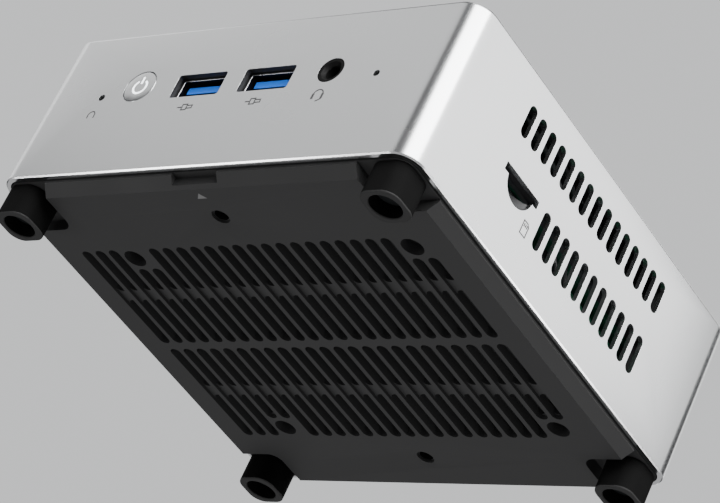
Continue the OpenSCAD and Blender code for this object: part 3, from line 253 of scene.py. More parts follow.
def finish(name, dark, light, gloss, metal=0.0, grain_mm=0.3, depth_mm=0.01, specks=0.5, specular=0.5):
    """A Principled finish: two near tones mixed by the grain, gloss between two values, fine bump."""
    made = bpy.data.materials.new(name)
    made.use_nodes = True
    nodes, links = made.node_tree.nodes, made.node_tree.links
    shader = nodes["Principled BSDF"]
    grain = nodes.new("ShaderNodeGroup")
    grain.node_tree = grain_group
    grain.inputs["Grains per metre"].default_value = 1 / (grain_mm * MM)
    grain.inputs["Depth"].default_value = depth_mm * MM
    grain.inputs["Low gloss"].default_value = gloss[0]
    grain.inputs["High gloss"].default_value = gloss[1]
    tones = nodes.new("ShaderNodeMix")
    tones.data_type = "RGBA"
    tones.inputs["A"].default_value = (*dark, 1)
    tones.inputs["B"].default_value = (*light, 1)
    pick = nodes.new("ShaderNodeMix")
    pick.inputs["Factor"].default_value = specks
    links.new(grain.outputs["Cloud"], pick.inputs["A"])
    links.new(grain.outputs["Speck"], pick.inputs["B"])
    links.new(pick.outputs["Result"], tones.inputs["Factor"])
    links.new(tones.outputs["Result"], shader.inputs["Base Color"])
    links.new(grain.outputs["Roughness"], shader.inputs["Roughness"])
    links.new(grain.outputs["Normal"], shader.inputs["Normal"])
    shader.inputs["Metallic"].default_value = metal
    shader.inputs["Specular IOR Level"].default_value = specular
    return made


# %% [markdown]
# ## Finishes
# Each name says what the finish is on the real computer, except three: the paler rubber under the feet is
# painted light, and the darker steel and blue inside the sockets are painted shade. Tones are linear colours.
# The sleeve is blasted and anodised, so its gloss is broad and even; the thin rim round its lower edge is cut
# after anodising and shines. Black plastics differ mainly in gloss: spark-eroded cover, smoother frame, dull
# rubber, mirror lid.
# A line holds two tones, the range of roughness, metal or not, the grain's size and depth in millimetres,
# and, where they aren't the usual half, the share of specks and the strength of the highlight.

# %% Finishes by name
METAL = 1.0
GLOW = 3.0
finishes = {
    "sleeve": finish("blasted_aluminium", (0.70, 0.71, 0.72), (0.76, 0.77, 0.775), (0.25, 0.28), METAL, 0.12, 0.001),
    "polished_rim": finish("cut_aluminium", (0.86, 0.87, 0.88), (0.92, 0.92, 0.93), (0.16, 0.22), METAL, 0.4, 0.0005),
    "lid": finish("mirror_black", (0.010, 0.010, 0.011), (0.014, 0.014, 0.015),
                  (0.10, 0.14), 0, 2.0, 0.0005, 0.5, 0.2),
    "frame": finish("frame_plastic", (0.012, 0.012, 0.013), (0.02, 0.02, 0.021), (0.5, 0.6), 0, 0.25, 0.006),
    "cover": finish("eroded_plastic", (0.016, 0.016, 0.0163), (0.023, 0.023, 0.0233), (0.6, 0.68), 0, 0.22, 0.008),
    "foot_rubber": finish("dull_rubber", (0.003, 0.003, 0.003), (0.005, 0.005, 0.005),
                          (0.8, 0.9), 0, 0.35, 0.008, 0.5, 0.06),
    # Painted light: paler, glossier rubber for the bottom faces of the feet.
    "rubber_painted_light": finish("rubber_painted_light", (0.020, 0.020, 0.020), (0.028, 0.028, 0.028),
                          (0.6, 0.7), 0, 0.35, 0.006, 0.5, 0.3),
    "nozzle": finish("nozzle_plastic", (0.003, 0.003, 0.003), (0.005, 0.005, 0.005),
                     (0.6, 0.7), 0, 0.3, 0.004, 0.5, 0.12),
    "dark_plastic": finish("black_plastic", (0.008, 0.012, 0.013), (0.02, 0.02, 0.021), (0.4, 0.5), 0, 0.3, 0.004),
    "light_plastic": finish("pale_plastic", (0.66, 0.65, 0.60), (0.74, 0.73, 0.68), (0.35, 0.45), 0, 0.4, 0.003),
    "blue_plastic": finish("blue_moulding", (0.012, 0.16, 0.80), (0.018, 0.21, 0.92), (0.35, 0.42), 0, 0.4, 0.002),
    # Painted shade: a darker blue for the tongues' long faces inside the sockets.
    "blue_painted_shade": finish("blue_in_shade", (0.004, 0.03, 0.16), (0.006, 0.045, 0.20),
                        (0.45, 0.55), 0, 0.4, 0.002, 0.5, 0.2),
    # Painted shade: dark steel for the inside of the socket shells.
    "steel_painted_shade": finish("socket_painted_shade", (0.012, 0.012, 0.014), (0.02, 0.02, 0.024),
                           (0.45, 0.55), METAL, 0.5, 0.001),
    "steel": finish("plated_steel", (0.56, 0.56, 0.57), (0.68, 0.68, 0.69), (0.22, 0.3), METAL, 0.5, 0.001),
    "dark_steel": finish("black_steel", (0.05, 0.05, 0.052), (0.09, 0.09, 0.092), (0.35, 0.45), METAL, 0.3, 0.002),
    "thin_metal": finish("thin_aluminium", (0.6, 0.61, 0.62), (0.72, 0.73, 0.74), (0.3, 0.4), METAL, 0.3, 0.001),
    "copper": finish("plain_copper", (0.62, 0.28, 0.15), (0.78, 0.38, 0.22), (0.25, 0.35), METAL, 0.6, 0.001),
    "brass": finish("turned_brass", (0.62, 0.43, 0.17), (0.74, 0.54, 0.24), (0.25, 0.32), METAL, 0.5, 0.001),
    "circuit_board": finish("solder_mask", (0.006, 0.06, 0.032), (0.012, 0.10, 0.05), (0.25, 0.35), 0, 0.6, 0.004),
    "lit_symbol": finish("clear_plastic", (0.75, 0.78, 0.80), (0.82, 0.85, 0.87), (0.2, 0.25), 0, 1.0, 0.001),
    "drive_case": finish("drive_shell", (0.014, 0.015, 0.016), (0.022, 0.023, 0.024), (0.42, 0.5), 0, 0.3, 0.004),
    "print": finish("grey_print", (0.045, 0.045, 0.046), (0.06, 0.06, 0.061), (0.5, 0.6), 0, 0.3, 0.001),
    "pale_print": finish("pale_print", (0.14, 0.14, 0.14), (0.18, 0.18, 0.18), (0.5, 0.6), 0, 0.3, 0.001),
    "gold": finish("gold_plate", (0.80, 0.58, 0.25), (0.88, 0.66, 0.32), (0.2, 0.28), METAL, 0.5, 0.0005),
}
glow = finishes["lit_symbol"].node_tree.nodes["Principled BSDF"]
glow.inputs["Emission Color"].default_value = (0.93, 0.97, 1.0, 1)
glow.inputs["Emission Strength"].default_value = GLOW


def paint(obj, *names):
    """Gives an object its finishes, in the order of its material slots."""
    obj.data.materials.clear()
    for name in names:
        obj.data.materials.append(finishes[name])


for part in frame["record"]["subparts"]:
    paint(frame["nodes"][part["node"]], part["material_slot"])
print("finishes:", len(finishes), "painted nodes:", len(frame["nodes"]))

# %% [markdown]
# ## Tools for the pieces
# Nearly everything on this computer is a block with rounded edges and openings. A cube is added at its place
# and size, its edges along one axis are bevelled to round corners, and openings are cut by blocks made the
# same way. A last small bevel on every sharp edge catches the light, as a moulded or stamped edge does.

# %% Block, bevel and cut helpers
def only(obj):
    """Makes one object the only selected and active one."""
    bpy.ops.object.select_all(action="DESELECT")
    obj.select_set(True)
    bpy.context.view_layer.objects.active = obj


def block(name, low, high):
    """A box between two corners, with its place in its mesh."""
    low, high = Vector(low), Vector(high)
    bpy.ops.object.select_all(action="DESELECT")
    bpy.ops.mesh.primitive_cube_add(size=1, location=(low + high) / 2)
    obj = bpy.context.object
    obj.name = name
    obj.scale = high - low
    bpy.ops.object.transform_apply(location=True, rotation=True, scale=True)
    return obj


def rod(name, centre, radius, low, high, axis="Y", sides=64, tip=None):
    """A cylinder or cone along one axis, from low to high on that axis."""
    i = "XYZ".index(axis)
    middle = list(centre)
    middle[i] = (low + high) / 2
    turn = {"X": (0, math.pi / 2, 0), "Y": (-math.pi / 2, 0, 0), "Z": (0, 0, 0)}[axis]
    bpy.ops.object.select_all(action="DESELECT")
    bpy.ops.mesh.primitive_cone_add(vertices=sides, radius1=radius, radius2=radius if tip is None else tip,
                                    depth=high - low, location=middle, rotation=turn)
    obj = bpy.context.object
    obj.name = name
    bpy.ops.object.transform_apply(location=True, rotation=True, scale=True)
    return obj


def bevel_where(obj, test, width, segments):
    """Bevels the edges whose two ends pass a test."""
    only(obj)
    bpy.ops.object.mode_set(mode="EDIT")
    bpy.ops.mesh.select_mode(type="EDGE")
    bpy.ops.mesh.select_all(action="DESELECT")
    mesh = bmesh.from_edit_mesh(obj.data)
    for edge in mesh.edges:
        edge.select_set(test(edge.verts[0].co, edge.verts[1].co))
    bmesh.update_edit_mesh(obj.data)
    bpy.ops.mesh.bevel(offset=width, segments=segments, profile=0.5, affect="EDGES")
    bpy.ops.object.mode_set(mode="OBJECT")


def runs_along(axis):
    """Test for edges parallel to an axis."""
    i = "XYZ".index(axis)
    others = [k for k in range(3) if k != i]
    return lambda a, b: all(abs(a[k] - b[k]) < NEAR for k in others)


def lies_at(axis, value):
    """Test for edges that lie in the plane axis = value."""
    i = "XYZ".index(axis)
    return lambda a, b: abs(a[i] - value) < NEAR and abs(b[i] - value) < NEAR


def rounded(name, low, high, axis, radius, segments=8):
    """A block whose four edges along one axis are round."""
    obj = block(name, low, high)
    bevel_where(obj, runs_along(axis), radius, segments)
    return obj


def copy_to(obj, move, turn=None):
    """A copy with a mesh of its own, turned about the origin and then moved."""
    made = obj.copy()
    made.data = obj.data.copy()
    bpy.context.scene.collection.objects.link(made)
    made.data.transform(Matrix.Translation(move) @ (turn or Matrix.Identity(4)))
    return made


def join(name, parts):
    """Joins objects into one."""
    only(parts[0])
    for other in parts[1:]:
        other.select_set(True)
    if len(parts) > 1:
        bpy.ops.object.join()
    parts[0].name = name
    return parts[0]


def combine(obj, tools, operation):
    """Cuts or adds tool shapes, which must not overlap one another, and removes them."""
    tool = join("tool", tools)
    step = obj.modifiers.new("combine", "BOOLEAN")
    step.operation = operation
    step.solver = "EXACT"
    step.object = tool
    only(obj)
    bpy.ops.object.modifier_apply(modifier=step.name)
    bpy.data.objects.remove(tool)
    return obj


def soften(obj, width, segments=2, angle=40):
    """Rounds every sharp edge a little and shades the result."""
    only(obj)
    bpy.ops.object.shade_smooth_by_angle(angle=math.radians(angle))
    step = obj.modifiers.new("edge", "BEVEL")
    step.width = width
    step.segments = segments
    step.limit_method = "ANGLE"
    step.angle_limit = math.radians(angle)
    step.harden_normals = True
    step.miter_outer = "MITER_ARC"
    bpy.ops.object.modifier_apply(modifier=step.name)
    return obj


def settle(piece, body, slot, *nodes):
    """Says which body a finished piece rides on and the nodes it stands for; its record slot is not used."""
    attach(piece, body)
    if nodes:
        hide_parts(*nodes)
    print(piece.name, len(piece.data.polygons), "faces")
    return piece


# %% [markdown]
# ## Sleeve
# The sleeve is bent from one sheet: upright corners of 5.6 mm, a small round at the top, and a cut rim below
# that shines. It starts as a solid block with those edges, because bevels on a plain block stay clean, and
# is then hollowed and cut. The holes come from the pieces that they fit, so each follows its own piece.

# %% Sleeve body
sleeve_low, sleeve_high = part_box("shell")
board_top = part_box("mainboard")[1].z
board_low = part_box("mainboard")[0].z
EDGE_Z = sleeve_low.z
WALL = 1.2 * MM
CORNER = 5.6 * MM
RIM = 0.3 * MM
THROUGH = 1.0 * MM
half_w, half_d = sleeve_high.x, sleeve_high.y
LID_Z = sleeve_high.z - 2.0 * MM
LEDGE = 2.2 * MM
LEDGE_Z = LID_Z - 1.2 * MM
TOP_ROUND = 0.8 * MM
NECK_CORNER = 3.4 * MM

sleeve = rounded("sleeve", sleeve_low, sleeve_high, "Z", CORNER, 12)
bevel_where(sleeve, lies_at("Z", sleeve_high.z), TOP_ROUND, 4)
bevel_where(sleeve, lies_at("Z", sleeve_low.z), RIM, 1)
inner = Vector((half_w - WALL, half_d - WALL, 0))
inner_corner = CORNER - WALL
cavity = rounded("cavity", (-inner.x, -inner.y, EDGE_Z - THROUGH), (inner.x, inner.y, LEDGE_Z), "Z", inner_corner, 10)
recess = rounded("recess", (-inner.x, -inner.y, LID_Z), (inner.x, inner.y, sleeve_high.z + THROUGH), "Z",
                 inner_corner, 10)
combine(sleeve, [cavity, recess], "DIFFERENCE")
neck = rounded("neck", (LEDGE - inner.x, LEDGE - inner.y, LEDGE_Z - THROUGH),
               (inner.x - LEDGE, inner.y - LEDGE, LID_Z + THROUGH), "Z", NECK_CORNER, 6)
combine(sleeve, [neck], "DIFFERENCE")

# %% [markdown]
# ## Openings in the sleeve
# The side slots are one slot copied along two rows, and the left side mirrors the right. The front openings
# follow the button, the two sockets, the jack and the two pinholes. The card slot has a finger notch, a half
# disc below it, which is cut in a second pass because it overlaps the slot. The walls of the two front socket
# openings take the black frame finish as painted shade, for the shade that lies in them.

# %% Cut the openings
VENT_PITCH = 4.11 * MM
VENT_W = 2.67 * MM
VENT_REAR = 27.8 * MM
vent_rows = ((15, 7.8 * MM, 29.65 * MM), (11, 9.3 * MM, 14.35 * MM))  # count, length, height above the edge
FULL_ROUND = 0.999  # a slot's end radius as a share of half its width, so that no edge has zero length
FRONT_USB_X = (-10.7 * MM, 8.4 * MM)
REAR_USB_X = (10.5 * MM, -7.0 * MM)
USB_W = 13.2 * MM
USB_H = 6.0 * MM
PORT_GAP = 0.3 * MM
usb_z = board_top + USB_H / 2
button_low, button_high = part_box("power_button_cap")
button = (button_low + button_high) / 2
jack_low, jack_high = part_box("audio_jack")
JACK_HOLE = 3.25 * MM
jack = Vector((25.5 * MM, -half_d, board_top + 3.7 * MM))
BUTTON_HOLE = 4.35 * MM
pinhole_z = board_top + 1.7 * MM
PINHOLE_X = 38.4 * MM
pinholes = ((-PINHOLE_X, 0.85 * MM), (PINHOLE_X, 0.8 * MM))  # place and radius: reset and microphone


def side_cutters(side):
    """All slot cutters of one side: +1 is the right side, -1 the left."""
    made = []
    x0, x1 = sorted((side * (half_w - WALL - THROUGH), side * (half_w + THROUGH)))
    for count, tall, middle in vent_rows:
        z = EDGE_Z + middle
        first = rounded("vent", (x0, VENT_REAR - VENT_W / 2, z - tall / 2), (x1, VENT_REAR + VENT_W / 2, z + tall / 2),
                        "X", VENT_W / 2 * FULL_ROUND, 8)
        made.append(first)
        made += [copy_to(first, (0, -i * VENT_PITCH, 0)) for i in range(1, count)]
    return made


front = (-half_d - THROUGH, -half_d + WALL + THROUGH)
front_cutters = [rod("button_hole", button, BUTTON_HOLE, *front), rod("jack_hole", jack, JACK_HOLE, *front)]
for x in FRONT_USB_X:
    half = Vector((USB_W / 2 + PORT_GAP, 0, USB_H / 2 + PORT_GAP / 2))
    front_cutters.append(rounded("usb_hole", (x - half.x, front[0], usb_z - half.z),
                                 (x + half.x, front[1], usb_z + half.z), "Y", 0.7 * MM, 5))
for x, radius in pinholes:
    front_cutters.append(rod("pinhole", (x, 0, pinhole_z), radius, *front, sides=32))
combine(sleeve, front_cutters + side_cutters(1) + side_cutters(-1), "DIFFERENCE")

card = Vector((half_w, -23.95 * MM, board_low - 0.75 * MM))
CARD_W = 13.2 * MM
CARD_H = 1.9 * MM
FINGER_R = 5.05 * MM
side = (half_w - WALL - THROUGH, half_w + THROUGH)
card_cutter = block("card", (side[0], card.y - CARD_W / 2, card.z - CARD_H / 2),
                    (side[1], card.y + CARD_W / 2, card.z + CARD_H / 2))
lock_y = (-half_d + 20.5 * MM, -half_d + 27.5 * MM)
lock_z = (EDGE_Z + 10.5 * MM, EDGE_Z + 13.5 * MM)
lock_cutter = rounded("lock", (-side[1], lock_y[0], lock_z[0]), (-side[0], lock_y[1], lock_z[1]), "X", 0.8 * MM, 4)
REAR_W = half_w - 10 * MM
REAR_Z = (EDGE_Z + 15 * MM, LEDGE_Z - 1.4 * MM)
rear_cutter = rounded("rear", (-REAR_W, half_d - WALL - THROUGH, REAR_Z[0]),
                      (REAR_W, half_d + THROUGH, REAR_Z[1]), "Y", 0.6 * MM, 4)
combine(sleeve, [card_cutter, lock_cutter, rear_cutter], "DIFFERENCE")
finger = rod("finger", card, FINGER_R, *side, axis="X", sides=64)
only(finger)
bpy.ops.object.mode_set(mode="EDIT")
bpy.ops.mesh.select_all(action="SELECT")
bpy.ops.mesh.bisect(plane_co=(0, 0, card.z), plane_no=(0, 0, 1), use_fill=True, clear_outer=True)
bpy.ops.object.mode_set(mode="OBJECT")
combine(sleeve, [finger], "DIFFERENCE")
soften(sleeve, 0.12 * MM)
paint(sleeve, "sleeve", "polished_rim", "frame")
# Lower rim faces take the cut finish. The walls of the front socket openings take the black frame finish: painted
# shade.
for face in sleeve.data.polygons:
    at = face.center
    low_edge = at.z < EDGE_Z + RIM + NEAR and face.normal.z < -0.2
    behind = -half_d + 0.1 * MM < at.y < -half_d + WALL + NEAR
    off_socket = min(abs(at.x - x) for x in FRONT_USB_X)
    in_hole = abs(at.z - usb_z) < USB_H / 2 + 0.3 * MM and off_socket < USB_W / 2 + 0.5 * MM
    face.material_index = 1 if low_edge else 2 if behind and in_hole else 0
settle(sleeve, "chassis", "sleeve", "shell")

# %% [markdown]
# ## Power button and its lit sign
# The cap is a flat disc of the same metal, flush with the front, with a thin dark gap round it. The power
# sign is cut through it and a clear insert fills the cut, lit from behind. An arc is drawn by spinning a
# small square about the button's axis.

# %% Power button
def arc_bar(name, centre, radius, thick, deep, start, sweep, steps, axis="Y"):
    """A bar of square section bent into an arc: starts at an angle from +Z and sweeps clockwise."""
    c = Vector(centre)
    turn_axis = Vector((0, 1, 0)) if axis == "Y" else Vector((1, 0, 0))
    wide = Vector((1, 0, 0)) if axis == "Y" else Vector((0, 1, 0))
    first = block(name, c - wide * thick / 2 - turn_axis * deep / 2 + Vector((0, 0, radius - thick / 2)),
                  c + wide * thick / 2 + turn_axis * deep / 2 + Vector((0, 0, radius + thick / 2)))
    only(first)
    bpy.ops.object.mode_set(mode="EDIT")
    mesh = bmesh.from_edit_mesh(first.data)
    kept = max(mesh.faces, key=lambda f: f.normal.dot(wide))
    bmesh.ops.delete(mesh, geom=[f for f in mesh.faces if f is not kept], context="FACES")
    for vert in mesh.verts:
        vert.co -= wide * thick / 2
    kept.select_set(True)
    spin = Matrix.Translation(c) @ Matrix.Rotation(start, 4, turn_axis) @ Matrix.Translation(-c)
    bmesh.ops.transform(mesh, matrix=spin, verts=mesh.verts)
    bmesh.update_edit_mesh(first.data)
    bpy.ops.mesh.select_all(action="SELECT")
    bpy.ops.mesh.spin(steps=steps, angle=sweep, center=c, axis=-turn_axis)
    bpy.ops.mesh.select_all(action="SELECT")
    bpy.ops.mesh.remove_doubles(threshold=NEAR / 10)
    bpy.ops.mesh.normals_make_consistent(inside=False)
    bpy.ops.object.mode_set(mode="OBJECT")
    return first


CAP_R = 4.2 * MM
sign_r = 1.8 * MM
STROKE = 0.5 * MM
cap_back = button_high.y
cap = rod("power_cap", button, CAP_R, -half_d, -half_d + WALL + 0.2 * MM, sides=96)
bevel_where(cap, lies_at("Y", -half_d), 0.25 * MM, 3)
flange = rod("flange", button, CAP_R + 0.6 * MM, -half_d + WALL + 0.02 * MM, cap_back, sides=96)
combine(cap, [flange], "UNION")
gap_angle = math.radians(33)


def power_sign(extra, y0, y1):
    """The power sign as two bars: an open ring and a stroke in its gap."""
    ring = arc_bar("ring", (button.x, (y0 + y1) / 2, button.z), sign_r, STROKE + 2 * extra, y1 - y0,
                   gap_angle, 2 * math.pi - 2 * gap_angle, 40)
    reach = 0.95 * MM + extra
    stroke = block("stroke", (button.x - STROKE / 2 - extra, y0, button.z + sign_r - reach),
                   (button.x + STROKE / 2 + extra, y1, button.z + sign_r + reach))
    return [ring, stroke]


combine(cap, power_sign(0, -half_d - THROUGH, cap_back + THROUGH), "DIFFERENCE")
soften(cap, 0.04 * MM, 1)
paint(cap, "sleeve")
settle(cap, "power_button", "sleeve", "power_button_cap")
insert_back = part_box("power_symbol")[1].y
sign = join("lit_sign", power_sign(-0.02 * MM, -half_d + 0.03 * MM, cap_back + 0.1 * MM)
            + [rod("light_disc", button, 3.7 * MM, cap_back + 0.02 * MM, cap_back + 0.82 * MM),
               rod("light_stub", button, 1.5 * MM, cap_back + 0.4 * MM, insert_back, sides=32)])
paint(sign, "lit_symbol")
settle(sign, "power_button", "lit_symbol", "power_symbol")

# %% [markdown]
# ## Signs on the sleeve
# Small grey signs are printed below the openings. They are made as thin raised print: a plug outline for
# each socket, a headset, an open arc for the reset pinhole and a card outline on the right side. They are
# drawn from short bars and arcs, and carry no lettering.

# %% Printed signs
PRINT = 0.02 * MM
LINE = 0.3 * MM


def front_bar(x0, z0, x1, z1, thick=LINE):
    """A straight printed line on the front, between two points. Upright lines stand a hair prouder."""
    a, b = Vector((x0, 0, z0)), Vector((x1, 0, z1))
    length = (b - a).length
    upright = abs(z1 - z0) > abs(x1 - x0)
    out = PRINT * (1.3 if upright else 1)
    bar = block("bar", (-length / 2 - thick / 2, -out, -thick / 2), (length / 2 + thick / 2, PRINT / 2, thick / 2))
    angle = math.atan2(z1 - z0, x1 - x0)
    middle = (a + b) / 2
    bar.data.transform(Matrix.Translation((middle.x, -half_d, middle.z)) @ Matrix.Rotation(-angle, 4, "Y"))
    return bar


def outline(points, closed=True, thick=LINE):
    """A chain of printed lines."""
    ends = list(zip(points, points[1:] + points[:1])) if closed else list(zip(points, points[1:]))
    return [front_bar(*a, *b, thick) for a, b in ends]


def plug_sign(x, z):
    """Side view of a plug: lead, body and narrower tip."""
    w, h = 0.9 * MM, 0.75 * MM
    body = outline([(x - w, z - h), (x + 0.4 * MM, z - h), (x + 0.4 * MM, z + h), (x - w, z + h)])
    tip_x = (x + 0.4 * MM, x + 1.9 * MM)
    tip = outline([(tip_x[0], z - h / 2), (tip_x[1], z - h / 2), (tip_x[1], z + h / 2), (tip_x[0], z + h / 2)], False)
    return body + tip + [front_bar(x - 2.1 * MM, z, x - w, z)]


def headset_sign(x, z):
    """Head band and two ear cups with a short microphone arm."""
    r = 1.25 * MM
    band = arc_bar("band", (x, -half_d, z), r, LINE, PRINT * 2, -math.pi / 2, math.pi, 16)
    cups = [front_bar(x + s * r, z - 0.1 * MM, x + s * r, z - 0.9 * MM, 0.6 * MM) for s in (-1, 1)]
    return [band, front_bar(x + r, z - 1.3 * MM, x + 0.2 * MM, z - 1.8 * MM)] + cups


SIGN_Z = EDGE_Z + 16.9 * MM
signs = plug_sign(-11.1 * MM, SIGN_Z) + plug_sign(8.0 * MM, SIGN_Z) + headset_sign(25.3 * MM, SIGN_Z + 0.4 * MM)
signs.append(arc_bar("reset", (-38.7 * MM, -half_d, SIGN_Z), 0.95 * MM, LINE, PRINT * 2, -math.pi / 2, math.pi, 20))
signs += [front_bar(x, SIGN_Z, x, SIGN_Z - 0.7 * MM) for x in (-39.65 * MM, -37.75 * MM)]
front_signs = join("front_signs", signs)
paint(front_signs, "print")
settle(front_signs, "chassis", "sleeve")

card_points = ((-1.0, -1.5), (1.0, -1.5), (1.0, 1.0), (0.4, 1.6), (-1.0, 1.6))
card_sign_parts = outline([(x * MM, z * MM) for x, z in card_points])
card_sign_parts += [front_bar(x, 0.5 * MM, x, 1.0 * MM) for x in (-0.5 * MM, 0, 0.5 * MM)]
card_sign = join("card_sign", card_sign_parts)
to_side = Matrix.Translation((half_w, -18.2 * MM, EDGE_Z + 11.1 * MM)) @ Matrix.Rotation(math.pi / 2, 4, "Z")
card_sign.data.transform(to_side @ Matrix.Translation((0, half_d, 0)))
paint(card_sign, "print")
settle(card_sign, "chassis", "sleeve")

# %% [markdown]
# ## Bottom cover
# The cover is one moulding: a tray with a bevel all round, a pocket at each corner for a foot, 48 slots in
# two groups, and a bar across the back of the slots. It is cut from a solid block in the order of the mould:
# the inside first, then the pockets, the slots to two depths so that the bar stays, and the screw holes.

# %% Cover body and corner pockets
cover_low, cover_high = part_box("bottom_cover")
BEVEL = 2.25 * MM
FLOOR = 2.0 * MM
POCKET = 14.2 * MM
pocket_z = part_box("feet")[1].z
cover = rounded("cover", cover_low, cover_high, "Z", 4.1 * MM, 8)
bevel_where(cover, lies_at("Z", cover_low.z), BEVEL, 1)
WALL_IN = 2.6 * MM
inside = rounded("inside", (cover_low.x + WALL_IN, cover_low.y + WALL_IN, cover_low.z + FLOOR),
                 (cover_high.x - WALL_IN, cover_high.y - WALL_IN, cover_high.z + THROUGH), "Z", 2 * MM, 4)


def corner_blocks(grow, low, high):
    """Four blocks that reach from each corner of the case to the pocket's edge."""
    side = 30 * MM
    made = []
    for sx in (-1, 1):
        for sy in (-1, 1):
            x, y = sx * (half_w - POCKET - grow), sy * (half_d - POCKET - grow)
            xs, ys = sorted((x, x + sx * side)), sorted((y, y + sy * side))
            made.append(rounded("corner", (xs[0], ys[0], low), (xs[1], ys[1], high), "Z", 3 * MM, 6))
    return made


combine(inside, corner_blocks(1.8 * MM, cover_low.z, cover_high.z + 2 * THROUGH), "DIFFERENCE")
combine(cover, [inside], "DIFFERENCE")
combine(cover, corner_blocks(0, cover_low.z - THROUGH, pocket_z), "DIFFERENCE")

# %% Slots and holes of the cover
SLOTS = 24
SLOT_PITCH = 4.0 * MM
SLOT_W = 2.8 * MM
SLOT_MID = 1.1 * MM
SLOT_END = 34.0 * MM
SLOT_SHORT = 27.3 * MM
RIB_W = 3.3 * MM
RIB_UP = 0.7 * MM
rib_y = (SLOT_MID + SLOT_END) / 2
drive_x = 5.2 * MM
HOLE_L = 76.6 * MM
HOLE_W = 61.72 * MM
HOLE_KEEP = 4.4 * MM
drive_holes = [(drive_x + sx * HOLE_L / 2, sy * HOLE_W / 2) for sx in (-1, 1) for sy in (-1, 1)]


def slot_cutters(low, high, spans):
    """Slot cutters for all columns and both groups, each cut into the given spans of y."""
    made = []
    full = {}
    for i in range(SLOTS):
        x = (i - (SLOTS - 1) / 2) * SLOT_PITCH
        short = min(abs(x - hole[0]) for hole in drive_holes) < HOLE_KEEP
        for n, (y0, y1) in enumerate(spans(SLOT_SHORT if short else SLOT_END)):
            key = (n, short)
            if key not in full:
                full[key] = rounded("slot", (x - SLOT_W / 2, y0, low), (x + SLOT_W / 2, y1, high), "Z",
                                    SLOT_W / 2 * FULL_ROUND, 8)
                full[key]["x"] = x
                made.append(full[key])
            else:
                made.append(copy_to(full[key], (x - full[key]["x"], 0, 0)))
            made.append(copy_to(made[-1], (0, -y0 - y1, 0)))
    return made


def whole(end):
    """One span: the slot in full."""
    return [(SLOT_MID, end)]


def split_by_bar(end):
    """Two spans: the slot on either side of the bar."""
    return [(SLOT_MID, rib_y - RIB_W / 2), (rib_y + RIB_W / 2, end)]


combine(cover, slot_cutters(cover_low.z - THROUGH, cover_low.z + RIB_UP, whole), "DIFFERENCE")
combine(cover, slot_cutters(cover_low.z + RIB_UP / 2, cover_low.z + FLOOR + THROUGH, split_by_bar), "DIFFERENCE")

BRACKET_Y = 42.5 * MM
brackets_y = (-BRACKET_Y, BRACKET_Y)
seat_z = EDGE_Z + 0.6 * MM
BOSS_SINK = 1 * MM
DRIVE_BOSS_R = 4.6 * MM
DRIVE_BOSS_UP = 1.8 * MM
BRACKET_BOSS_R = 4.3 * MM
BRACKET_BOSS_H = 6.3 * MM
ACCESS_R = 2.6 * MM
DRIVE_SCREW_R = 1.65 * MM
DISH_R = 3.4 * MM
DISH_H = 0.5 * MM
CLEAR_R = 2.1 * MM
INSERT_R = 2.82 * MM
SCREW_R = 1.75 * MM
boss_z = cover_low.z + BOSS_SINK
bosses = [rod("boss", (x, y, 0), DRIVE_BOSS_R, boss_z, EDGE_Z + DRIVE_BOSS_UP, "Z", 40) for x, y in drive_holes]
bosses += [rod("boss", (0, y, 0), BRACKET_BOSS_R, boss_z, cover_low.z + BRACKET_BOSS_H, "Z", 40) for y in brackets_y]
combine(cover, bosses, "UNION")
holes = [rod("hole", (x, y, 0), ACCESS_R, cover_low.z - THROUGH, seat_z, "Z", 48) for x, y in drive_holes]
holes += [rod("dish", (0, y, 0), DISH_R, cover_low.z - 0.04 * MM, cover_low.z + DISH_H, "Z", 48, tip=CLEAR_R)
          for y in brackets_y]
foot_spots = [(sx * (half_w - 6.7 * MM), sy * (half_d - 6.7 * MM)) for sx in (-1, 1) for sy in (-1, 1)]
holes += [rod("post", (x, y, 0), SCREW_R, pocket_z - THROUGH, cover_high.z + THROUGH, "Z", 32) for x, y in foot_spots]
combine(cover, holes, "DIFFERENCE")
deep = [rod("deep", (x, y, 0), DRIVE_SCREW_R, cover_low.z, cover_high.z + 3 * MM, "Z", 32) for x, y in drive_holes]
deep += [rod("deep", (0, y, 0), CLEAR_R, cover_low.z + 0.3 * MM, cover_low.z + 1.0 * MM, "Z", 48)
         for y in brackets_y]
combine(cover, deep, "DIFFERENCE")
insert_low, insert_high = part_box("bracket_inserts")
combine(cover, [rod("seat", (0, y, 0), INSERT_R, insert_low.z - NEAR, insert_high.z + NEAR, "Z", 48)
                for y in brackets_y], "DIFFERENCE")
NOTCH = 12.5 * MM
notch = block("notch", (-NOTCH / 2, cover_low.y - THROUGH, cover_low.z + 0.75 * MM),
              (NOTCH / 2, cover_low.y + 1.7 * MM, cover_low.z + 3.0 * MM))
combine(cover, [notch], "DIFFERENCE")
soften(cover, 0.15 * MM)
paint(cover, "cover")
settle(cover, "chassis", "cover", "bottom_cover")

# %% [markdown]
# ## Arrow on the cover
# A small pale arrow near the front edge shows which way the cover goes on. It is a thin printed triangle.

# %% Arrow
ARROW_Y = -49.6 * MM
bpy.ops.object.select_all(action="DESELECT")
bpy.ops.mesh.primitive_cone_add(vertices=3, radius1=1.5 * MM, radius2=1.5 * MM, depth=2 * PRINT,
                                location=(0, ARROW_Y, cover_low.z))
arrow = bpy.context.object
arrow.name = "front_arrow"
arrow.scale = (1, 0.72, 1)
bpy.ops.object.transform_apply(location=True, rotation=True, scale=True)
turn_over = Matrix.Rotation(math.pi, 4, "X")
arrow.data.transform(Matrix.Translation((0, 2 * ARROW_Y, 2 * cover_low.z)) @ turn_over)
paint(arrow, "pale_print")
settle(arrow, "chassis", "cover")
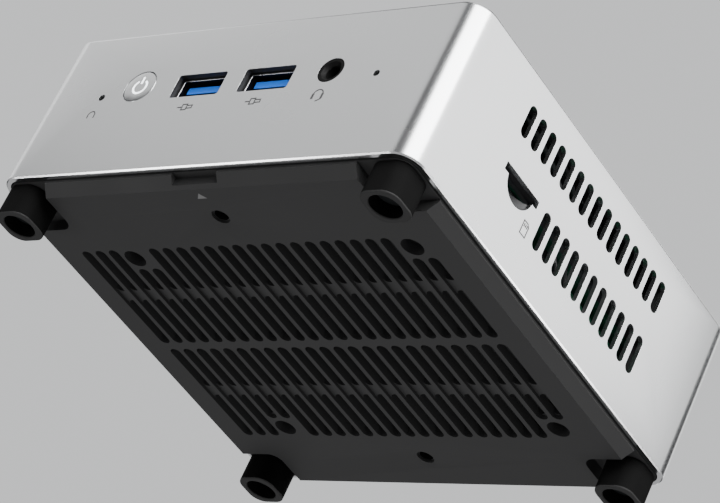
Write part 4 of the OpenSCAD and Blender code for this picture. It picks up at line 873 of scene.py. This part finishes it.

# %% [markdown]
# ## Feet
# Each foot is a rubber block with soft upright corners and a deep round recess, in which the head of a captive
# screw sits. Rubber has no sharp edge: the rim round the recess is rounded inside and outside. That rim
# carries the computer; it is painted a little paler and glossier than the sides, as painted light.

# %% Feet
FOOT = 4.9 * MM
FOOT_CORNER = 3.4 * MM
FOOT_RECESS_R = 3.65 * MM
FOOT_WEB = 2 * MM
foot = rounded("foot", (foot_spots[0][0] - FOOT, foot_spots[0][1] - FOOT, cad_low.z),
               (foot_spots[0][0] + FOOT, foot_spots[0][1] + FOOT, pocket_z), "Z", FOOT_CORNER, 10)
foot_at = Vector((*foot_spots[0], 0))
combine(foot, [rod("recess", foot_at, FOOT_RECESS_R, cad_low.z - THROUGH, pocket_z - FOOT_WEB, "Z", 64)], "DIFFERENCE")
shank = rod("shank", foot_at, SCREW_R, pocket_z - FOOT_WEB - THROUGH, pocket_z + THROUGH, "Z", 32)
combine(foot, [shank], "DIFFERENCE")
soften(foot, 0.35 * MM, 3)
all_feet = [foot] + [copy_to(foot, Vector((x, y, 0)) - foot_at) for x, y in foot_spots[1:]]
feet = join("rubber_feet", all_feet)
paint(feet, "foot_rubber", "rubber_painted_light")
# Painted light: faces within 0.4 mm of the bottom, where the feet stand, take the paler rubber.
for face in feet.data.polygons:
    face.material_index = 1 if face.center.z < cad_low.z + 0.4 * MM else 0
settle(feet, "chassis", "foot_rubber", "feet")

# %% [markdown]
# ## Lid
# The lid is a mirror-black plate that drops into the top of the sleeve. A slightly crowned edge keeps the
# line round it soft.

# %% Lid
LID_GAP = 0.2 * MM
lid = rounded("lid", (-inner.x + LID_GAP, -inner.y + LID_GAP, LID_Z),
              (inner.x - LID_GAP, inner.y - LID_GAP, sleeve_high.z), "Z", inner_corner - LID_GAP, 10)
bevel_where(lid, lies_at("Z", sleeve_high.z), 0.5 * MM, 4)
only(lid)
bpy.ops.object.shade_smooth_by_angle(angle=math.radians(35))
paint(lid, "lid")
settle(lid, "chassis", "lid", "top_lid")

# %% [markdown]
# ## Sockets for plugs
# A USB-A socket is a folded steel shell with a blue tongue that carries gold contacts on its lower side. One
# set is built at the front and copied: twice along the front, and twice turned half round for the back. Only
# the mouth of a socket sees light. Painted shade stands for the dark further in: the shell's inside takes a dark
# copy of the steel, and the tongue's long faces take a darker copy of the blue, while its ends keep the brighter blue.

# %% USB sockets
usb_low, usb_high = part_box("usb_shells")
SHELL_T = 0.4 * MM
USB_L = 14 * MM
mouth = usb_low.y
half_usb = USB_W / 2
can = rounded("usb_shell", (-half_usb, mouth, usb_low.z), (half_usb, mouth + USB_L, usb_high.z), "Y", 0.6 * MM, 5)
can_hole = rounded("can_hole", (SHELL_T - half_usb, mouth - THROUGH, usb_low.z + SHELL_T),
                   (half_usb - SHELL_T, mouth + USB_L - SHELL_T, usb_high.z - SHELL_T), "Y", 0.3 * MM, 4)
combine(can, [can_hole], "DIFFERENCE")
soften(can, 0.1 * MM)
TONGUE_T = 1.9 * MM
TONGUE_HALF = 5.6 * MM
BASE_HALF = 6 * MM
TONGUE_IN = 1.2 * MM
tongue_z = usb_high.z - SHELL_T - 0.75 * MM
tongue = block("usb_tongue", (-TONGUE_HALF, mouth + TONGUE_IN, tongue_z - TONGUE_T),
               (TONGUE_HALF, mouth + USB_L - 1.8 * MM, tongue_z))
base = block("tongue_base", (-BASE_HALF, mouth + 11.8 * MM, usb_low.z + SHELL_T),
             (BASE_HALF, mouth + 13 * MM, usb_high.z - SHELL_T))
combine(tongue, [base], "UNION")
soften(tongue, 0.15 * MM)
contacts = []
for i in range(4):
    x = (i - 1.5) * 2.3 * MM
    contacts.append(block("contact", (x - 0.5 * MM, mouth + TONGUE_IN + 0.6 * MM, tongue_z - TONGUE_T - 0.05 * MM),
                          (x + 0.5 * MM, mouth + 9 * MM, tongue_z - TONGUE_T + 0.05 * MM)))
strips = join("usb_contacts", contacts)
half_turn = Matrix.Rotation(math.pi, 4, "Z")
socket_parts = (  # name, first copy, mouth's finish, finish of painted shade further in
    ("steel_cans", can, "steel", "steel_painted_shade"),
    ("blue_tongues", tongue, "blue_plastic", "blue_painted_shade"),
    ("plug_contacts", strips, "gold", "gold"),
)
socket_pieces = {}
for name, made, outside, shade_finish in socket_parts:
    all_four = [copy_to(made, (x, 0, 0)) for x in FRONT_USB_X]
    all_four += [copy_to(made, (x, usb_high.y + mouth, 0), half_turn) for x in REAR_USB_X]
    bpy.data.objects.remove(made)
    socket_pieces[name] = join(name, all_four)
    paint(socket_pieces[name], outside, shade_finish)
# Painted shade: the inward faces of the shells behind the mouth take the dark steel.
for face in socket_pieces["steel_cans"].data.polygons:
    at = face.center
    middle = min(FRONT_USB_X if at.y < 0 else REAR_USB_X, key=lambda x: abs(x - at.x))
    inward = face.normal.dot(Vector((middle - at.x, 0, usb_z - at.z))) > 0
    face.material_index = 1 if inward and mouth + 0.15 * MM < at.y < usb_high.y - 0.15 * MM else 0
# Painted shade: the tongue's long faces take the darker blue, and its ends keep the brighter blue.
for face in socket_pieces["blue_tongues"].data.polygons:
    face.material_index = 0 if abs(face.normal.y) > 0.6 else 1
settle(socket_pieces["steel_cans"], "chassis", "steel", "usb_shells")
settle(socket_pieces["blue_tongues"], "chassis", "blue_plastic", "usb_tongues")
settle(socket_pieces["plug_contacts"], "chassis", "brass")

# %% [markdown]
# ## Audio jack
# The jack's nozzle fills its hole in the sleeve. Its mouth is a short cone that guides the plug, and only the
# rim of the nozzle shows as a ring.

# %% Audio jack
NOZZLE = JACK_HOLE - 0.1 * MM
BORE = 1.8 * MM
body = block("headset_jack", (jack.x - 3.5 * MM, jack_low.y + 3.25 * MM, jack_low.z),
             (jack.x + 3.5 * MM, jack_high.y, jack_high.z))
combine(body, [rod("nozzle", jack, NOZZLE, jack_low.y, jack_low.y + 3.6 * MM, sides=96)], "UNION")
combine(body, [rod("bore", jack, BORE, jack_low.y - THROUGH, jack_low.y + 12.5 * MM, sides=64)], "DIFFERENCE")
mouth_cone = rod("mouth", jack, BORE + 0.7 * MM, jack_low.y, jack_low.y + 0.8 * MM, sides=64, tip=BORE)
mouth_cone.data.transform(Matrix.Translation((0, -NEAR, 0)))
combine(body, [mouth_cone], "DIFFERENCE")
soften(body, 0.12 * MM)
paint(body, "nozzle")
settle(body, "chassis", "dark_plastic", "audio_jack")

# %% [markdown]
# ## Rear panel
# Behind the opening at the back stands a black panel with a flange. Its openings follow the sockets, and a row
# of upright slots lets the warm air out over them.

# %% Rear panel
panel_low, panel_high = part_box("rear_panel")
FLANGE = 1.35 * MM
FLANGE_T = 1.3 * MM
plate = rounded("rear_plate", (panel_low.x + FLANGE, panel_high.y - 1.4 * MM, panel_low.z + FLANGE),
                (panel_high.x - FLANGE, panel_high.y, panel_high.z - FLANGE), "Y", 0.5 * MM, 4)
flange = block("flange", panel_low, (panel_high.x, panel_low.y + FLANGE_T + 0.02 * MM, panel_high.z))
combine(plate, [flange], "UNION")
rear = (panel_low.y - THROUGH, panel_high.y + THROUGH)


def port_cutter(node, x, radius, segments=5):
    """A cutter round a rear socket: the socket's own height and width with a small gap."""
    low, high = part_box(node)
    gap = Vector((PORT_GAP, 0, PORT_GAP / 2))
    w = (high.x - low.x) / 2 if x is None else half_usb
    middle = (low.x + high.x) / 2 if x is None else x
    return rounded("port", (middle - w - gap.x, rear[0], low.z - gap.z), (middle + w + gap.x, rear[1], high.z + gap.z),
                   "Y", radius, segments)


ports = [port_cutter("usb_shells", x, 0.7 * MM) for x in REAR_USB_X]
ports += [port_cutter("hdmi_port", None, 0.5 * MM), port_cutter("usb_c_port", None, 1.7 * MM, 8),
          port_cutter("network_port", None, 0.3 * MM)]
inlet_low, inlet_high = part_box("dc_jack")
ports.append(rod("inlet_hole", ((inlet_low.x + inlet_high.x) / 2, 0, board_top + 3.3 * MM), 3.75 * MM, *rear))
fins_low, fins_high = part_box("heat_sink_fins")
fan_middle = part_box("fan_rotor")[0].x / 2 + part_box("fan_rotor")[1].x / 2
first_slot = fan_middle - 25 * MM + 2 * MM + VENT_W / 2
exhaust = rounded("exhaust", (first_slot - VENT_W / 2, rear[0], fins_low.z + 0.8 * MM),
                  (first_slot + VENT_W / 2, rear[1], fins_high.z - 0.8 * MM), "Y", VENT_W / 2 * FULL_ROUND, 8)
ports += [exhaust] + [copy_to(exhaust, (i * VENT_PITCH, 0, 0)) for i in range(1, 12)]
combine(plate, ports, "DIFFERENCE")
soften(plate, 0.12 * MM)
paint(plate, "frame")
settle(plate, "chassis", "frame", "rear_panel")

# %% Contacts of the network socket
net_low, net_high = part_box("network_port")
WIRE_PITCH = 1.02 * MM
WIRE_W = 0.4 * MM
WIRES = 8
wires = []
for i in range(WIRES):
    x = (net_low.x + net_high.x) / 2 + (i - (WIRES - 1) / 2) * WIRE_PITCH
    wires.append(block("wire", (x - WIRE_W / 2, net_high.y - 10 * MM, net_low.z + 10.9 * MM),
                       (x + WIRE_W / 2, net_high.y - 2 * MM, net_low.z + 11.3 * MM)))
network_wires = join("network_contacts", wires)
for vert in network_wires.data.vertices:
    if vert.co.y < net_high.y - 6 * MM:
        vert.co.z -= 2.2 * MM
paint(network_wires, "gold")
settle(network_wires, "chassis", "brass")
